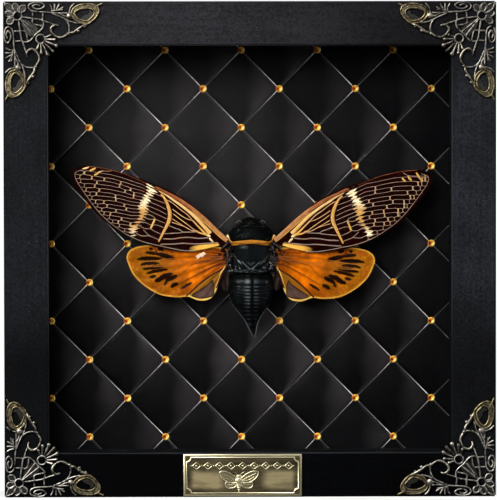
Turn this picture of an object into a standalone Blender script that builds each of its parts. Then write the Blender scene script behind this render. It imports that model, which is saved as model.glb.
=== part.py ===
"""A cicada with spread wings, mounted in a square shadow-box frame.

The frame stands upright on its bottom rail. X points to the right, Y away from the viewer and Z up.
The origin is on the plane that it stands on, under the middle of the frame. Lengths are in metres.
"""

import math

import bmesh
import bpy

MM = 0.001

# Frame, outside, and the moulding that its four rails are cut from.
FRAME_WIDTH = 200 * MM
FRAME_HEIGHT = 201.5 * MM
FRAME_DEPTH = 34 * MM
RAIL_FACE = 18 * MM
RAIL_WALL = 13 * MM
LIP_THICKNESS = 5 * MM
EDGE_CHAMFER = 0.6 * MM

# The clearance between pieces that touch.
GAP = 0.3 * MM

# The stack inside the rebate, from the pane back to the board.
PANE_THICKNESS = 2 * MM
SPACER_THICKNESS = 4.4 * MM
PAD_CREST_DEPTH = 24 * MM
PAD_REAR_DEPTH = 30 * MM
BOARD_THICKNESS = 2.4 * MM

# Diamond tufting: half the width and half the height of a diamond, and how high its cushion stands.
TUFT_STEP_X = 15.68 * MM
TUFT_STEP_Z = 15.96 * MM
TUFT_CENTRE_X = -3.3 * MM
TUFT_CENTRE_Z = 102.3 * MM
TUFT_REACH = 6
CUSHION_RISE = 3 * MM
SEAM_RISE = 1 * MM
STUD_RADIUS = 1.5 * MM
STUD_HEIGHT = 1 * MM
STUD_CROWN = 0.55

# Metal ornaments on the front face.
CORNER_THICKNESS = 1.2 * MM
PLATE_WIDTH = 48.2 * MM
PLATE_HEIGHT = 17.2 * MM
PLATE_THICKNESS = 1 * MM
PLATE_RELIEF = 0.4 * MM
PLATE_CENTRE_X = -3.2 * MM
PLATE_BOTTOM_Z = 0.4 * MM
RIM_INSET = 1.2 * MM
RIM_WIDTH = 1 * MM
RIM_NOTCH = 2.2 * MM
RIM_INNER_NOTCH = 1.8 * MM
FIGURE_DROP = 1.4 * MM

# Back fittings.
POINT_SIZE = 9 * MM
POINT_THICKNESS = 0.6 * MM
HANGER_WIDTH = 45 * MM
HANGER_HEIGHT = 9 * MM
HANGER_THICKNESS = 1.2 * MM
HANGER_TEETH = 9
TOOTH_HEIGHT = 1.8 * MM
TEETH_MARGIN = 8 * MM
SCREW_HEAD_RADIUS = 2.2 * MM
SCREW_HEAD_HEIGHT = 1 * MM
SCREW_SPACING = 37 * MM

# The cicada, on its own centre line.
BODY_X = 0.5 * MM
BODY_DEPTH = 17.2 * MM
BODY_FLATTENING = 0.62
TURNED_STEPS = 16
WING_THICKNESS = 0.5 * MM
FOREWING_DEPTH = 14.2 * MM
HINDWING_DEPTH = 15.7 * MM
FOREWING_HINGE = (10.6 * MM, 104.3 * MM)
HINDWING_HINGE = (9.4 * MM, 98.5 * MM)
LEFT_FOREWING_LIFT = math.radians(1.8)
LEFT_HINDWING_LIFT = math.radians(2.2)
LEG_RADIUS = 0.5 * MM
HEAD_HALF_SIZE = (6.5 * MM, 4 * MM, 4.2 * MM)
HEAD_CENTRE_Z = 109.4 * MM
HEAD_CUT_Z = 109.9 * MM
EYE_RADIUS = 1.5 * MM
EYE_SPREAD = 5.2 * MM
EYE_DEPTH = BODY_DEPTH - 1.2 * MM
EYE_Z = 111.2 * MM

FRONT_MOST = GAP + PLATE_THICKNESS + PLATE_RELIEF
REAR_MOST = FRAME_DEPTH + GAP + HANGER_THICKNESS + GAP + SCREW_HEAD_HEIGHT
FRONT_Y = (FRONT_MOST - REAR_MOST) / 2
OPENING_HALF_WIDTH = FRAME_WIDTH / 2 - RAIL_WALL - GAP
OPENING_LOW = RAIL_WALL + GAP
OPENING_HIGH = FRAME_HEIGHT - RAIL_WALL - GAP


def depth(behind_front):
    """The world Y of a plane this far behind the front face of the wood."""
    return FRONT_Y + behind_front


def clear_scene():
    for old in list(bpy.data.objects):
        bpy.data.objects.remove(old, do_unlink=True)


def working_collection(name):
    """Makes a collection and lets new primitives fall into it."""
    collection = bpy.data.collections.new(name)
    bpy.context.scene.collection.children.link(collection)
    layers = bpy.context.view_layer.layer_collection.children
    bpy.context.view_layer.active_layer_collection = layers[collection.name]
    return collection


def finish(name, colour, roughness, metallic=0.0, transmission=0.0):
    """A plain Principled material, with a linear colour."""
    material = bpy.data.materials.new(name)
    material.use_nodes = True
    shader = material.node_tree.nodes["Principled BSDF"]
    shader.inputs["Base Color"].default_value = (*colour, 1)
    shader.inputs["Roughness"].default_value = roughness
    shader.inputs["Metallic"].default_value = metallic
    shader.inputs["Transmission Weight"].default_value = transmission
    return material


def add(name, data, material):
    """Links new data to the object's collection under its own name and material."""
    data.materials.append(material)
    piece = bpy.data.objects.new(name, data)
    bpy.context.collection.objects.link(piece)
    return piece


def box(name, low, high, material):
    centre = [(a + b) / 2 for a, b in zip(low, high)]
    bpy.ops.mesh.primitive_cube_add(size=1, location=centre)
    piece = bpy.context.object
    piece.name = name
    piece.scale = [b - a for a, b in zip(low, high)]
    bpy.ops.object.transform_apply(location=False, rotation=False, scale=True)
    piece.data.materials.append(material)
    return piece


def shade_round(piece, crease_degrees=40):
    piece.data.shade_smooth()
    piece.data.set_sharp_from_angle(angle=math.radians(crease_degrees))


def flat_outline(name, outlines, thickness, material, rounded=False):
    """A flat plate from closed outlines in millimetres; an outline inside another is a hole."""
    curve = bpy.data.curves.new(name, "CURVE")
    curve.dimensions = "2D"
    curve.fill_mode = "BOTH"
    curve.extrude = thickness / 2
    curve.resolution_u = 3
    for outline in outlines:
        spline = curve.splines.new("BEZIER" if rounded else "POLY")
        points = spline.bezier_points if rounded else spline.points
        points.add(len(outline) - 1)
        for point, (x, y) in zip(points, outline):
            if rounded:
                point.co = (x * MM, y * MM, 0)
                point.handle_left_type = point.handle_right_type = "AUTO"
            else:
                point.co = (x * MM, y * MM, 0, 1)
        spline.use_cyclic_u = True
    piece = add(name, curve, material)
    piece.rotation_euler = (math.pi / 2, 0, 0)
    return piece


def as_mesh(piece):
    """Turns a curve object into a closed mesh object of the same name."""
    graph = bpy.context.evaluated_depsgraph_get()
    mesh = bpy.data.meshes.new_from_object(piece.evaluated_get(graph))
    bm = bmesh.new()
    bm.from_mesh(mesh)
    bmesh.ops.remove_doubles(bm, verts=bm.verts, dist=1e-6)
    bm.to_mesh(mesh)
    bm.free()
    name = piece.name
    solid = bpy.data.objects.new(name, mesh)
    solid.matrix_world = piece.matrix_world
    bpy.context.collection.objects.link(solid)
    bpy.data.objects.remove(piece, do_unlink=True)
    solid.name = name
    return solid


def join(piece, others):
    """Joins closed meshes into the first one, as one body."""
    bpy.context.view_layer.update()
    for other in others:
        union = piece.modifiers.new(other.name, "BOOLEAN")
        union.operation = "UNION"
        union.solver = "EXACT"
        union.object = other
        with bpy.context.temp_override(object=piece, active_object=piece):
            bpy.ops.object.modifier_apply(modifier=union.name)
        bpy.data.objects.remove(other, do_unlink=True)
    return piece


def circle(x, y, radius, count, squash=1.0):
    """Points of a regular polygon, drawn out along x by 1 / squash."""
    angles = [2 * math.pi * (k + 0.5) / count for k in range(count)]
    return [(x + radius * math.cos(a), y + radius * squash * math.sin(a)) for a in angles]


# ---------------------------------------------------------------- frame


def rail(name, length, location, turn, material):
    """A mitred rail. It is modelled as the bottom one, with z as the distance from the outer edge."""
    profile = (
        (EDGE_CHAMFER, 0),
        (RAIL_FACE - EDGE_CHAMFER, 0),
        (RAIL_FACE, EDGE_CHAMFER),
        (RAIL_FACE, LIP_THICKNESS),
        (RAIL_WALL, LIP_THICKNESS),
        (RAIL_WALL, FRAME_DEPTH),
        (0, FRAME_DEPTH),
        (0, EDGE_CHAMFER),
    )
    bm = bmesh.new()
    end = bm.faces.new([bm.verts.new((-length / 2, y, z)) for z, y in profile])
    swept = bmesh.ops.extrude_face_region(bm, geom=[end])["geom"]
    corners = [part for part in swept if isinstance(part, bmesh.types.BMVert)]
    bmesh.ops.translate(bm, verts=corners, vec=(length, 0, 0))
    for side in (-1, 1):
        cut = bmesh.ops.bisect_plane(
            bm,
            geom=bm.verts[:] + bm.edges[:] + bm.faces[:],
            dist=1e-7,
            plane_co=(side * (length / 2 - GAP), 0, 0),
            plane_no=(side, 0, 1),
            clear_outer=True,
        )
        edges = [part for part in cut["geom_cut"] if isinstance(part, bmesh.types.BMEdge)]
        bmesh.ops.contextual_create(bm, geom=edges)
    bmesh.ops.recalc_face_normals(bm, faces=bm.faces)
    mesh = bpy.data.meshes.new(name)
    bm.to_mesh(mesh)
    bm.free()
    piece = add(name, mesh, material)
    piece.location = location
    piece.rotation_euler = (0, turn, 0)
    return piece


def build_frame(wood):
    half = FRAME_WIDTH / 2
    middle = FRAME_HEIGHT / 2
    rail("rail_bottom", FRAME_WIDTH, (0, FRONT_Y, 0), 0, wood)
    rail("rail_right", FRAME_HEIGHT, (half, FRONT_Y, middle), -math.pi / 2, wood)
    rail("rail_top", FRAME_WIDTH, (0, FRONT_Y, FRAME_HEIGHT), math.pi, wood)
    rail("rail_left", FRAME_HEIGHT, (-half, FRONT_Y, middle), math.pi / 2, wood)


def build_stack(glass, card, board):
    """The pane, the four spacer strips behind it and the backing board."""
    left, right = -OPENING_HALF_WIDTH, OPENING_HALF_WIDTH
    low, high = OPENING_LOW, OPENING_HIGH
    pane_front = depth(LIP_THICKNESS + GAP)
    pane_rear = pane_front + PANE_THICKNESS
    box("glass_pane", (left, pane_front, low), (right, pane_rear, high), glass)

    front = pane_rear + GAP
    rear = depth(PAD_CREST_DEPTH) - GAP
    inner_low = low + SPACER_THICKNESS
    inner_high = high - SPACER_THICKNESS
    inner_left = left + SPACER_THICKNESS
    inner_right = right - SPACER_THICKNESS
    box("spacer_bottom", (left, front, low), (right, rear, inner_low), card)
    box("spacer_top", (left, front, inner_high), (right, rear, high), card)
    box("spacer_left", (left, front, inner_low + GAP), (inner_left, rear, inner_high - GAP), card)
    box("spacer_right", (inner_right, front, inner_low + GAP), (right, rear, inner_high - GAP), card)

    board_front = depth(PAD_REAR_DEPTH) + GAP
    box("backing_board", (left, board_front, low), (right, board_front + BOARD_THICKNESS, high), board)


def cushion_height(column, row):
    """How far the tufted cover stands above its studs, at a place counted in tuft steps."""
    rising = abs(math.cos(math.pi * (column + row) / 2))
    falling = abs(math.cos(math.pi * (column - row) / 2))
    return SEAM_RISE * max(rising, falling) + (CUSHION_RISE - SEAM_RISE) * math.sqrt(rising * falling)


def build_pad(leather):
    """The tufted pad: a cushion in every diamond, seams between them and a stud at every crossing."""
    bm = bmesh.new()
    cells = 4 * TUFT_REACH
    bmesh.ops.create_grid(bm, x_segments=cells, y_segments=cells, size=TUFT_REACH)
    valley = depth(PAD_CREST_DEPTH) + CUSHION_RISE
    studs = []
    folds = []
    for vert in bm.verts:
        column, row = round(vert.co.x * 2) / 2, round(vert.co.y * 2) / 2
        vert.co = (
            TUFT_CENTRE_X + column * TUFT_STEP_X,
            valley - cushion_height(column, row),
            TUFT_CENTRE_Z + row * TUFT_STEP_Z,
        )
        if column.is_integer() == row.is_integer():
            folds.append(vert)
        if column.is_integer() and row.is_integer() and (column + row) % 2:
            studs.append(vert)
    bmesh.ops.connect_verts(bm, verts=folds)
    inside = [v for v in studs if abs(v.co.x) < OPENING_HALF_WIDTH and OPENING_LOW < v.co.z < OPENING_HIGH]
    rings = bmesh.ops.bevel(
        bm,
        geom=inside,
        offset=STUD_RADIUS,
        offset_type="OFFSET",
        segments=1,
        affect="VERTICES",
    )
    domes = bmesh.ops.extrude_discrete_faces(bm, faces=rings["faces"])["faces"]
    for dome in domes:
        centre = dome.calc_center_median()
        for vert in dome.verts:
            vert.co.x = centre.x + (vert.co.x - centre.x) * STUD_CROWN
            vert.co.z = centre.z + (vert.co.z - centre.z) * STUD_CROWN
            vert.co.y = centre.y - STUD_HEIGHT
    borders = (
        ((-OPENING_HALF_WIDTH, 0, 0), (-1, 0, 0)),
        ((OPENING_HALF_WIDTH, 0, 0), (1, 0, 0)),
        ((0, 0, OPENING_LOW), (0, 0, -1)),
        ((0, 0, OPENING_HIGH), (0, 0, 1)),
    )
    for place, outwards in borders:
        bmesh.ops.bisect_plane(
            bm,
            geom=bm.verts[:] + bm.edges[:] + bm.faces[:],
            dist=1e-7,
            plane_co=place,
            plane_no=outwards,
            clear_outer=True,
        )
    rim = [edge for edge in bm.edges if edge.is_boundary]
    skirt = bmesh.ops.extrude_edge_only(bm, edges=rim)["geom"]
    for vert in (part for part in skirt if isinstance(part, bmesh.types.BMVert)):
        vert.co.y = depth(PAD_REAR_DEPTH)
    bmesh.ops.contextual_create(bm, geom=[edge for edge in bm.edges if edge.is_boundary])
    bmesh.ops.recalc_face_normals(bm, faces=bm.faces)
    mesh = bpy.data.meshes.new("quilted_pad")
    bm.to_mesh(mesh)
    bm.free()
    add("quilted_pad", mesh, leather)


# ---------------------------------------------------------------- metal ornaments

# Half of a corner's outline in millimetres from the frame's corner, as far along the rail and as far
# inwards, from the tip of the corner leaf out along the rail and back to the fan on the diagonal.
CORNER_EDGE = (
    (0.6, 0.6), (2.9, 1.0), (3.7, 2.4), (4.6, 0.6), (6.4, 1.0), (7.3, 2.6), (8.6, 1.3), (10.0, 2.2),
    (11.2, 0.7), (13.8, 0.4), (16.4, 0.7), (17.5, 2.3), (18.5, 0.5), (21.2, 0.4), (23.6, 0.8),
    (24.9, 2.4), (24.2, 3.7), (26.6, 3.8), (28.0, 1.8), (29.4, 0.4), (30.3, 0.6), (29.6, 2.0),
    (32.8, 0.8), (36.4, 0.9), (39.2, 1.4), (40.3, 0.4), (40.9, 1.0), (39.6, 3.2), (38.4, 6.2),
    (35.6, 9.2), (32.4, 10.7), (32.0, 12.6), (30.0, 12.7), (27.2, 12.9), (25.6, 13.9), (23.0, 14.3),
    (20.9, 13.3), (19.8, 11.9), (18.6, 12.6), (19.4, 13.9), (18.7, 14.9), (21.6, 15.1), (21.9, 16.2),
    (19.7, 16.8), (22.0, 17.7), (21.8, 18.8), (20.1, 18.9), (20.7, 20.7),
)
# The openings of that half: the spiral, the square cell, the long gap, the scroll, the gap beside it,
# the gap by the fan, the gap by the rosette and the leaf; the drop is a squashed circle.
CORNER_OPENINGS = (
    circle(13.8, 2.3, 1.7, 6, squash=0.45),
    ((12.2, 5.3), (15.8, 5.5), (15.5, 7.2), (12.3, 6.7)),
    ((17.3, 5.6), (21.6, 5.8), (24.4, 7.4), (22.6, 7.7), (20.4, 8.2), (17.2, 7.4)),
    circle(23.4, 11.0, 2.3, 8),
    ((26.4, 7.8), (29.6, 9.2), (29.0, 11.4), (27.2, 11.4)),
    ((17.4, 9.2), (19.3, 9.8), (19.2, 11.6), (17.9, 11.8)),
    ((9.3, 4.0), (11.2, 4.8), (11.1, 6.3), (8.8, 5.8)),
    ((10.6, 8.2), (15.2, 9.0), (15.3, 10.8), (13.8, 11.0)),
    circle(34.2, 5.2, 3.5, 8, squash=0.8),
)
ROSETTE_EYE = circle(6.0, 6.0, 1.4, 8)
FAN_EYE = circle(15.2, 15.2, 1.4, 8)


def build_corners(metal):
    """Four alike openwork corners: the outline is its own mirror image over the diagonal."""
    edge = list(CORNER_EDGE) + [(v, u) for u, v in reversed(CORNER_EDGE[1:-1])]
    openings = [ROSETTE_EYE, FAN_EYE]
    for opening in CORNER_OPENINGS:
        openings += [opening, [(v, u) for u, v in opening]]
    outlines = [[(u, -v) for u, v in outline] for outline in [edge] + openings]
    half = FRAME_WIDTH / 2
    places = {
        "corner_top_left": (-half, FRAME_HEIGHT, 0),
        "corner_top_right": (half, FRAME_HEIGHT, math.pi / 2),
        "corner_bottom_right": (half, 0, math.pi),
        "corner_bottom_left": (-half, 0, -math.pi / 2),
    }
    for name, (x, z, turn) in places.items():
        piece = flat_outline(name, outlines, CORNER_THICKNESS, metal)
        piece.location = (x, depth(-GAP - CORNER_THICKNESS / 2), z)
        piece.rotation_euler = (math.pi / 2, turn, 0)


def notched_rectangle(half_width, half_height, notch):
    """A rectangle whose corners are cut by quarter circles, as points in millimetres."""
    points = []
    for x_sign, y_sign, start in ((1, 1, 270), (-1, 1, 0), (-1, -1, 90), (1, -1, 180)):
        for step in range(4):
            angle = math.radians(start - 30 * step)
            x = x_sign * half_width + notch * math.cos(angle)
            y = y_sign * half_height + notch * math.sin(angle)
            points.append((x / MM, y / MM))
    return points


# Half of the plate's winged figure in millimetres from the plate's middle, from the head round to the tail.
FIGURE_EDGE = (
    (0, 1.9), (0.9, 1.7), (1.4, 1.0), (3.6, 2.6), (6.8, 3.4), (8.2, 2.8), (7.2, 0.8), (5.6, -0.6),
    (6.0, -1.8), (5.0, -2.9), (3.0, -2.7), (1.5, -2.2), (1.1, -3.8), (0, -5.4),
)


def build_plate(brass):
    """The plate: a flat rectangle with a raised rim and a raised figure."""
    centre = (PLATE_CENTRE_X, depth(-GAP - PLATE_THICKNESS / 2), PLATE_BOTTOM_Z + PLATE_HEIGHT / 2)
    half = (PLATE_WIDTH / 2, PLATE_THICKNESS / 2, PLATE_HEIGHT / 2)
    low = [middle - reach for middle, reach in zip(centre, half)]
    high = [middle + reach for middle, reach in zip(centre, half)]
    plate = box("name_plate", low, high, brass)

    rim_half_width = PLATE_WIDTH / 2 - RIM_INSET
    rim_half_height = PLATE_HEIGHT / 2 - RIM_INSET
    rim = [
        notched_rectangle(rim_half_width, rim_half_height, RIM_NOTCH),
        notched_rectangle(rim_half_width - RIM_WIDTH, rim_half_height - RIM_WIDTH, RIM_INNER_NOTCH),
    ]
    figure = [list(FIGURE_EDGE) + [(-x, y) for x, y in reversed(FIGURE_EDGE[1:-1])]]
    raised = []
    for name, outlines, drop in (("plate_rim", rim, 0), ("plate_figure", figure, FIGURE_DROP)):
        relief = flat_outline(name, outlines, PLATE_THICKNESS, brass)
        relief.location = (centre[0], centre[1] - PLATE_RELIEF, centre[2] - drop)
        bpy.context.view_layer.update()
        raised.append(as_mesh(relief))
    join(plate, raised)


# ---------------------------------------------------------------- back fittings


def build_points(steel):
    """Two thin steel points in each rail, over the backing board."""
    front = depth(PAD_REAR_DEPTH) + GAP + BOARD_THICKNESS + GAP
    rear = front + POINT_THICKNESS
    reach = FRAME_WIDTH / 4
    inner = FRAME_WIDTH / 2 - RAIL_WALL - GAP
    low, high = OPENING_LOW, OPENING_HIGH
    middle = FRAME_HEIGHT / 2
    half = POINT_SIZE / 2
    for number, across in enumerate((-reach, reach), 1):
        box(
            f"point_bottom_{number}",
            (across - half, front, low),
            (across + half, rear, low + POINT_SIZE),
            steel,
        )
        box(
            f"point_top_{number}",
            (across - half, front, high - POINT_SIZE),
            (across + half, rear, high),
            steel,
        )
        box(
            f"point_left_{number}",
            (-inner, front, middle + across - half),
            (-inner + POINT_SIZE, rear, middle + across + half),
            steel,
        )
        box(
            f"point_right_{number}",
            (inner - POINT_SIZE, front, middle + across - half),
            (inner, rear, middle + across + half),
            steel,
        )


def build_hanger(steel):
    """The sawtooth hanger on the top rail, with its teeth downwards, and its two screws."""
    centre_z = FRAME_HEIGHT - RAIL_WALL / 2
    half_width, half_height = HANGER_WIDTH / 2, HANGER_HEIGHT / 2
    first = TEETH_MARGIN - half_width
    pitch = -2 * first / HANGER_TEETH
    edge = [(half_width, -half_height), (half_width, half_height), (-half_width, half_height)]
    edge += [(-half_width, -half_height), (first, -half_height)]
    for count in range(HANGER_TEETH):
        start = first + count * pitch
        edge += [(start + pitch / 2, TOOTH_HEIGHT - half_height), (start + pitch, -half_height)]
    outline = [(x / MM, y / MM) for x, y in edge]
    hanger = flat_outline("hanger", [outline], HANGER_THICKNESS, steel)
    hanger.location = (0, depth(FRAME_DEPTH + GAP + HANGER_THICKNESS / 2), centre_z)
    for name, side in (("hanger_screw_left", -1), ("hanger_screw_right", 1)):
        bpy.ops.mesh.primitive_cone_add(
            vertices=16,
            radius1=SCREW_HEAD_RADIUS,
            radius2=SCREW_HEAD_RADIUS * 0.6,
            depth=SCREW_HEAD_HEIGHT,
            location=(
                side * SCREW_SPACING / 2,
                depth(REAR_MOST - SCREW_HEAD_HEIGHT / 2),
                centre_z,
            ),
            rotation=(-math.pi / 2, 0, 0),
        )
        screw = bpy.context.object
        screw.name = name
        screw.data.materials.append(steel)
        shade_round(screw)


# ---------------------------------------------------------------- cicada


def turned(name, profile, material):
    """A body part turned about its long axis and flattened; profile is (half width, height) in millimetres."""
    mesh = bpy.data.meshes.new(name)
    points = [(radius * MM, 0, height * MM) for radius, height in profile]
    mesh.from_pydata(points, [(k, k + 1) for k in range(len(points) - 1)], [])
    piece = add(name, mesh, material)
    piece.location = (BODY_X, depth(BODY_DEPTH), 0)
    piece.scale = (1, BODY_FLATTENING, 1)
    screw = piece.modifiers.new("turning", "SCREW")
    screw.axis = "Z"
    screw.steps = screw.render_steps = TURNED_STEPS
    screw.use_merge_vertices = True
    screw.merge_threshold = 1e-6
    return piece


def build_head(chitin):
    """The short, broad head, cut flat where it meets the thorax, with an eye bulging at each side."""
    bpy.ops.mesh.primitive_uv_sphere_add(segments=16, ring_count=8, radius=1)
    head = bpy.context.object
    head.name = "cicada_head"
    head.scale = HEAD_HALF_SIZE
    head.location = (BODY_X, depth(BODY_DEPTH), HEAD_CENTRE_Z)
    bpy.ops.object.transform_apply(location=True, rotation=True, scale=True)
    head.data.materials.append(chitin)
    eyes = []
    for side in (-1, 1):
        bpy.ops.mesh.primitive_uv_sphere_add(
            segments=10,
            ring_count=6,
            radius=EYE_RADIUS,
            location=(BODY_X + side * EYE_SPREAD, depth(EYE_DEPTH), EYE_Z),
        )
        eyes.append(bpy.context.object)
    join(head, eyes)
    bm = bmesh.new()
    bm.from_mesh(head.data)
    cut = bmesh.ops.bisect_plane(
        bm,
        geom=bm.verts[:] + bm.edges[:] + bm.faces[:],
        dist=1e-7,
        plane_co=(0, 0, HEAD_CUT_Z),
        plane_no=(0, 0, -1),
        clear_outer=True,
    )
    edges = [part for part in cut["geom_cut"] if isinstance(part, bmesh.types.BMEdge)]
    bmesh.ops.contextual_create(bm, geom=edges)
    bm.to_mesh(head.data)
    bm.free()


THORAX_PROFILE = (
    (0, 109.6), (5.6, 109.3), (7.6, 107.8), (9.2, 106.0), (10.0, 104.8), (9.4, 103.2), (8.0, 102.4),
    (8.1, 100.0), (8.0, 97.0), (7.8, 94.0), (7.4, 91.6), (6.6, 90.8), (0, 90.6),
)
# Half widths of the abdomen at a few heights, from the waist to the tail.
ABDOMEN_OUTLINE = (
    (7.2, 90.3), (8.6, 88.4), (9.2, 85.5), (9.0, 82.0), (8.2, 78.4), (7.1, 75.6), (5.6, 73.0),
    (4.2, 70.6), (2.9, 68.2), (1.7, 65.6), (0.6, 63.8),
)
ABDOMEN_SEGMENTS = 9
SEGMENT_STEP = 0.3


def half_width_at(height):
    """The abdomen's half width at a height, read between the stations of its outline."""
    for (wide, high), (narrow, low) in zip(ABDOMEN_OUTLINE, ABDOMEN_OUTLINE[1:]):
        if low <= height <= high:
            return narrow + (wide - narrow) * (height - low) / (high - low)
    raise ValueError(f"no station at {height} mm")


def abdomen_profile():
    """Overlapping rings, each a little wider at its rear edge than where the next one starts."""
    top, bottom = ABDOMEN_OUTLINE[0][1], ABDOMEN_OUTLINE[-2][1]
    pitch = (top - bottom) / ABDOMEN_SEGMENTS
    profile = [(0, top)]
    for ring in range(ABDOMEN_SEGMENTS):
        start, end = top - ring * pitch, top - (ring + 1) * pitch
        profile.append((half_width_at(start) - SEGMENT_STEP / 2, start - 0.05))
        profile.append((half_width_at(end) + SEGMENT_STEP / 2, end + 0.1))
    profile.append((half_width_at(bottom) - SEGMENT_STEP / 2, bottom - 0.1))
    profile.append(ABDOMEN_OUTLINE[-1])
    profile.append((0, ABDOMEN_OUTLINE[-1][1] - 0.2))
    return profile


# Wing outlines of the right side in millimetres from the wing's hinge, from the hinge out along the
# leading edge and back along the trailing edge.
FOREWING_OUTLINE = (
    (-1.6, 0.4), (7.9, 7.6), (15.6, 15.1), (23.8, 19.6), (32.7, 23.0), (43.7, 26.3), (52.1, 28.0),
    (58.8, 28.5), (63.4, 26.4), (63.0, 22.2), (58.6, 15.8), (52.6, 8.8), (46.2, 3.8), (38.6, -0.4),
    (32.7, -2.6), (25.8, -4.3), (16.8, -5.3), (9.0, -4.2), (3.0, -2.6), (-1.7, -2.2),
)
HINDWING_OUTLINE = (
    (-1.1, 1.6), (10.6, 3.2), (22.6, 3.6), (34.0, 2.2), (39.4, 0.6), (41.4, -2.2), (40.8, -5.4),
    (38.0, -10.6), (32.6, -15.2), (26.6, -18.0), (20.0, -18.6), (15.6, -18.2), (11.2, -19.6),
    (6.8, -18.8), (4.4, -15.6), (3.2, -11.6), (1.6, -6.8), (-1.2, -2.0),
)


def wing(name, outline, hinge, behind_front, side, lift, material):
    """A flat wing, right way round for side 1 and mirrored for side -1, raised about its hinge by lift."""
    mirrored = [(side * x, z) for x, z in outline]
    piece = flat_outline(name, [mirrored], WING_THICKNESS, material, rounded=True)
    piece.location = (BODY_X + side * hinge[0], depth(behind_front), hinge[1])
    piece.rotation_euler = (math.pi / 2, side * -lift, 0)
    return piece


# Knees of the right legs in millimetres: out from the body's axis, behind the front face, and height.
LEG_ROUTES = {
    "front": ((6.4, 22.5, 104.6), (8.6, 22.8, 107.4), (6.6, 22.9, 109.4), (4.6, 22.9, 110.6)),
    "middle": ((7.0, 22.7, 98.6), (9.8, 22.8, 100.2), (10.6, 22.9, 97.4), (9.8, 23.0, 95.2)),
    "hind": ((6.8, 22.6, 94.4), (10.2, 22.8, 92.4), (10.6, 22.8, 87.4), (10.2, 23.0, 84.2)),
}


def leg(name, route, side, material):
    """A thin leg, folded under the body: thigh, shin and foot."""
    curve = bpy.data.curves.new(name, "CURVE")
    curve.dimensions = "3D"
    curve.bevel_depth = LEG_RADIUS
    curve.bevel_resolution = 1
    curve.use_fill_caps = True
    spline = curve.splines.new("POLY")
    spline.points.add(len(route) - 1)
    for point, (out, behind, height) in zip(spline.points, route):
        point.co = (BODY_X + side * out * MM, depth(behind * MM), height * MM, 1)
    return add(name, curve, material)


def build_cicada(chitin, forewing_skin, hindwing_skin):
    build_head(chitin)
    for piece in (
        turned("cicada_thorax", THORAX_PROFILE, chitin),
        turned("cicada_abdomen", abdomen_profile(), chitin),
    ):
        piece.data.shade_smooth()
    for label, side, forewing_lift, hindwing_lift in (
        ("left", -1, LEFT_FOREWING_LIFT, LEFT_HINDWING_LIFT),
        ("right", 1, 0, 0),
    ):
        wing(
            f"forewing_{label}",
            FOREWING_OUTLINE,
            FOREWING_HINGE,
            FOREWING_DEPTH,
            side,
            forewing_lift,
            forewing_skin,
        )
        wing(
            f"hindwing_{label}",
            HINDWING_OUTLINE,
            HINDWING_HINGE,
            HINDWING_DEPTH,
            side,
            hindwing_lift,
            hindwing_skin,
        )
        for pair, route in LEG_ROUTES.items():
            leg(f"leg_{pair}_{label}", route, side, chitin)


clear_scene()
working_collection("cicada_shadow_box")

build_frame(finish("black_painted_wood", (0.010, 0.011, 0.012), 0.5))
build_stack(
    finish("glass", (0.9, 0.95, 0.93), 0.02, transmission=1.0),
    finish("black_card", (0.008, 0.008, 0.009), 0.8),
    finish("fibreboard", (0.28, 0.17, 0.09), 0.8),
)
build_pad(finish("black_faux_leather", (0.012, 0.011, 0.013), 0.45))
build_corners(finish("antique_pewter", (0.36, 0.32, 0.27), 0.4, metallic=1.0))
build_plate(finish("antique_brass", (0.45, 0.36, 0.16), 0.35, metallic=1.0))
steel = finish("zinc_plated_steel", (0.6, 0.6, 0.6), 0.35, metallic=1.0)
build_points(steel)
build_hanger(steel)
build_cicada(
    finish("black_chitin", (0.008, 0.010, 0.011), 0.25),
    finish("forewing_membrane", (0.09, 0.03, 0.012), 0.35),
    finish("hindwing_membrane", (0.62, 0.20, 0.01), 0.4),
)
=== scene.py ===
"""The looks of a cicada with spread wings in a square shadow-box frame.

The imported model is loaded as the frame, and each piece is dressed or made anew where that model has it.
X points to the viewer's right, Y away from the viewer and Z up. Lengths are in metres.
"""

import math
import random

import bmesh
import bpy
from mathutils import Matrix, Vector, noise


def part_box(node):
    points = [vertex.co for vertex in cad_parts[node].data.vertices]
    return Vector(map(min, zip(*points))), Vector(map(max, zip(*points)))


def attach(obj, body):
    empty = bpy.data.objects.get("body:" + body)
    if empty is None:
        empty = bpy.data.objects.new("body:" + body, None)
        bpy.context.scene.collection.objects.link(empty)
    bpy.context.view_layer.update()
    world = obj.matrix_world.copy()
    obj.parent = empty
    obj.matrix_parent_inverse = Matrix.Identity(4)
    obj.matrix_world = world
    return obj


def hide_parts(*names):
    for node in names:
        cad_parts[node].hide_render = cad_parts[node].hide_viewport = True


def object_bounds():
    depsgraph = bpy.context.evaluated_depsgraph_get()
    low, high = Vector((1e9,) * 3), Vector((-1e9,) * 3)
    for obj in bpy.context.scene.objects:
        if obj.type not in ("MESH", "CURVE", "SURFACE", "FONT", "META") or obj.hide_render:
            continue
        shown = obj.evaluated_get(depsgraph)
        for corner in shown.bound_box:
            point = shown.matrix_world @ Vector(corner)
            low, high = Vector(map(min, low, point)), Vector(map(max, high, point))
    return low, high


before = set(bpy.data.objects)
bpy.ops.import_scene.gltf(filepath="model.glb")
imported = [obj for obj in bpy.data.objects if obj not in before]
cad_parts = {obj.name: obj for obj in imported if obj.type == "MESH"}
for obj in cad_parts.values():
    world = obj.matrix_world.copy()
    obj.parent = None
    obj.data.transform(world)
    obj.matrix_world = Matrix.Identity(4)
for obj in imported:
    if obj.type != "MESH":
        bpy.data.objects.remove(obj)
cad_low, cad_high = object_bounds()
MM = 0.001


# ---------------------------------------------------------------- camera
# A long lens looks at the frame from the front, a touch from the left and from above, which is how
# the whole inner wall is hidden on the left and at the top and shows on the right and below.

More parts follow.
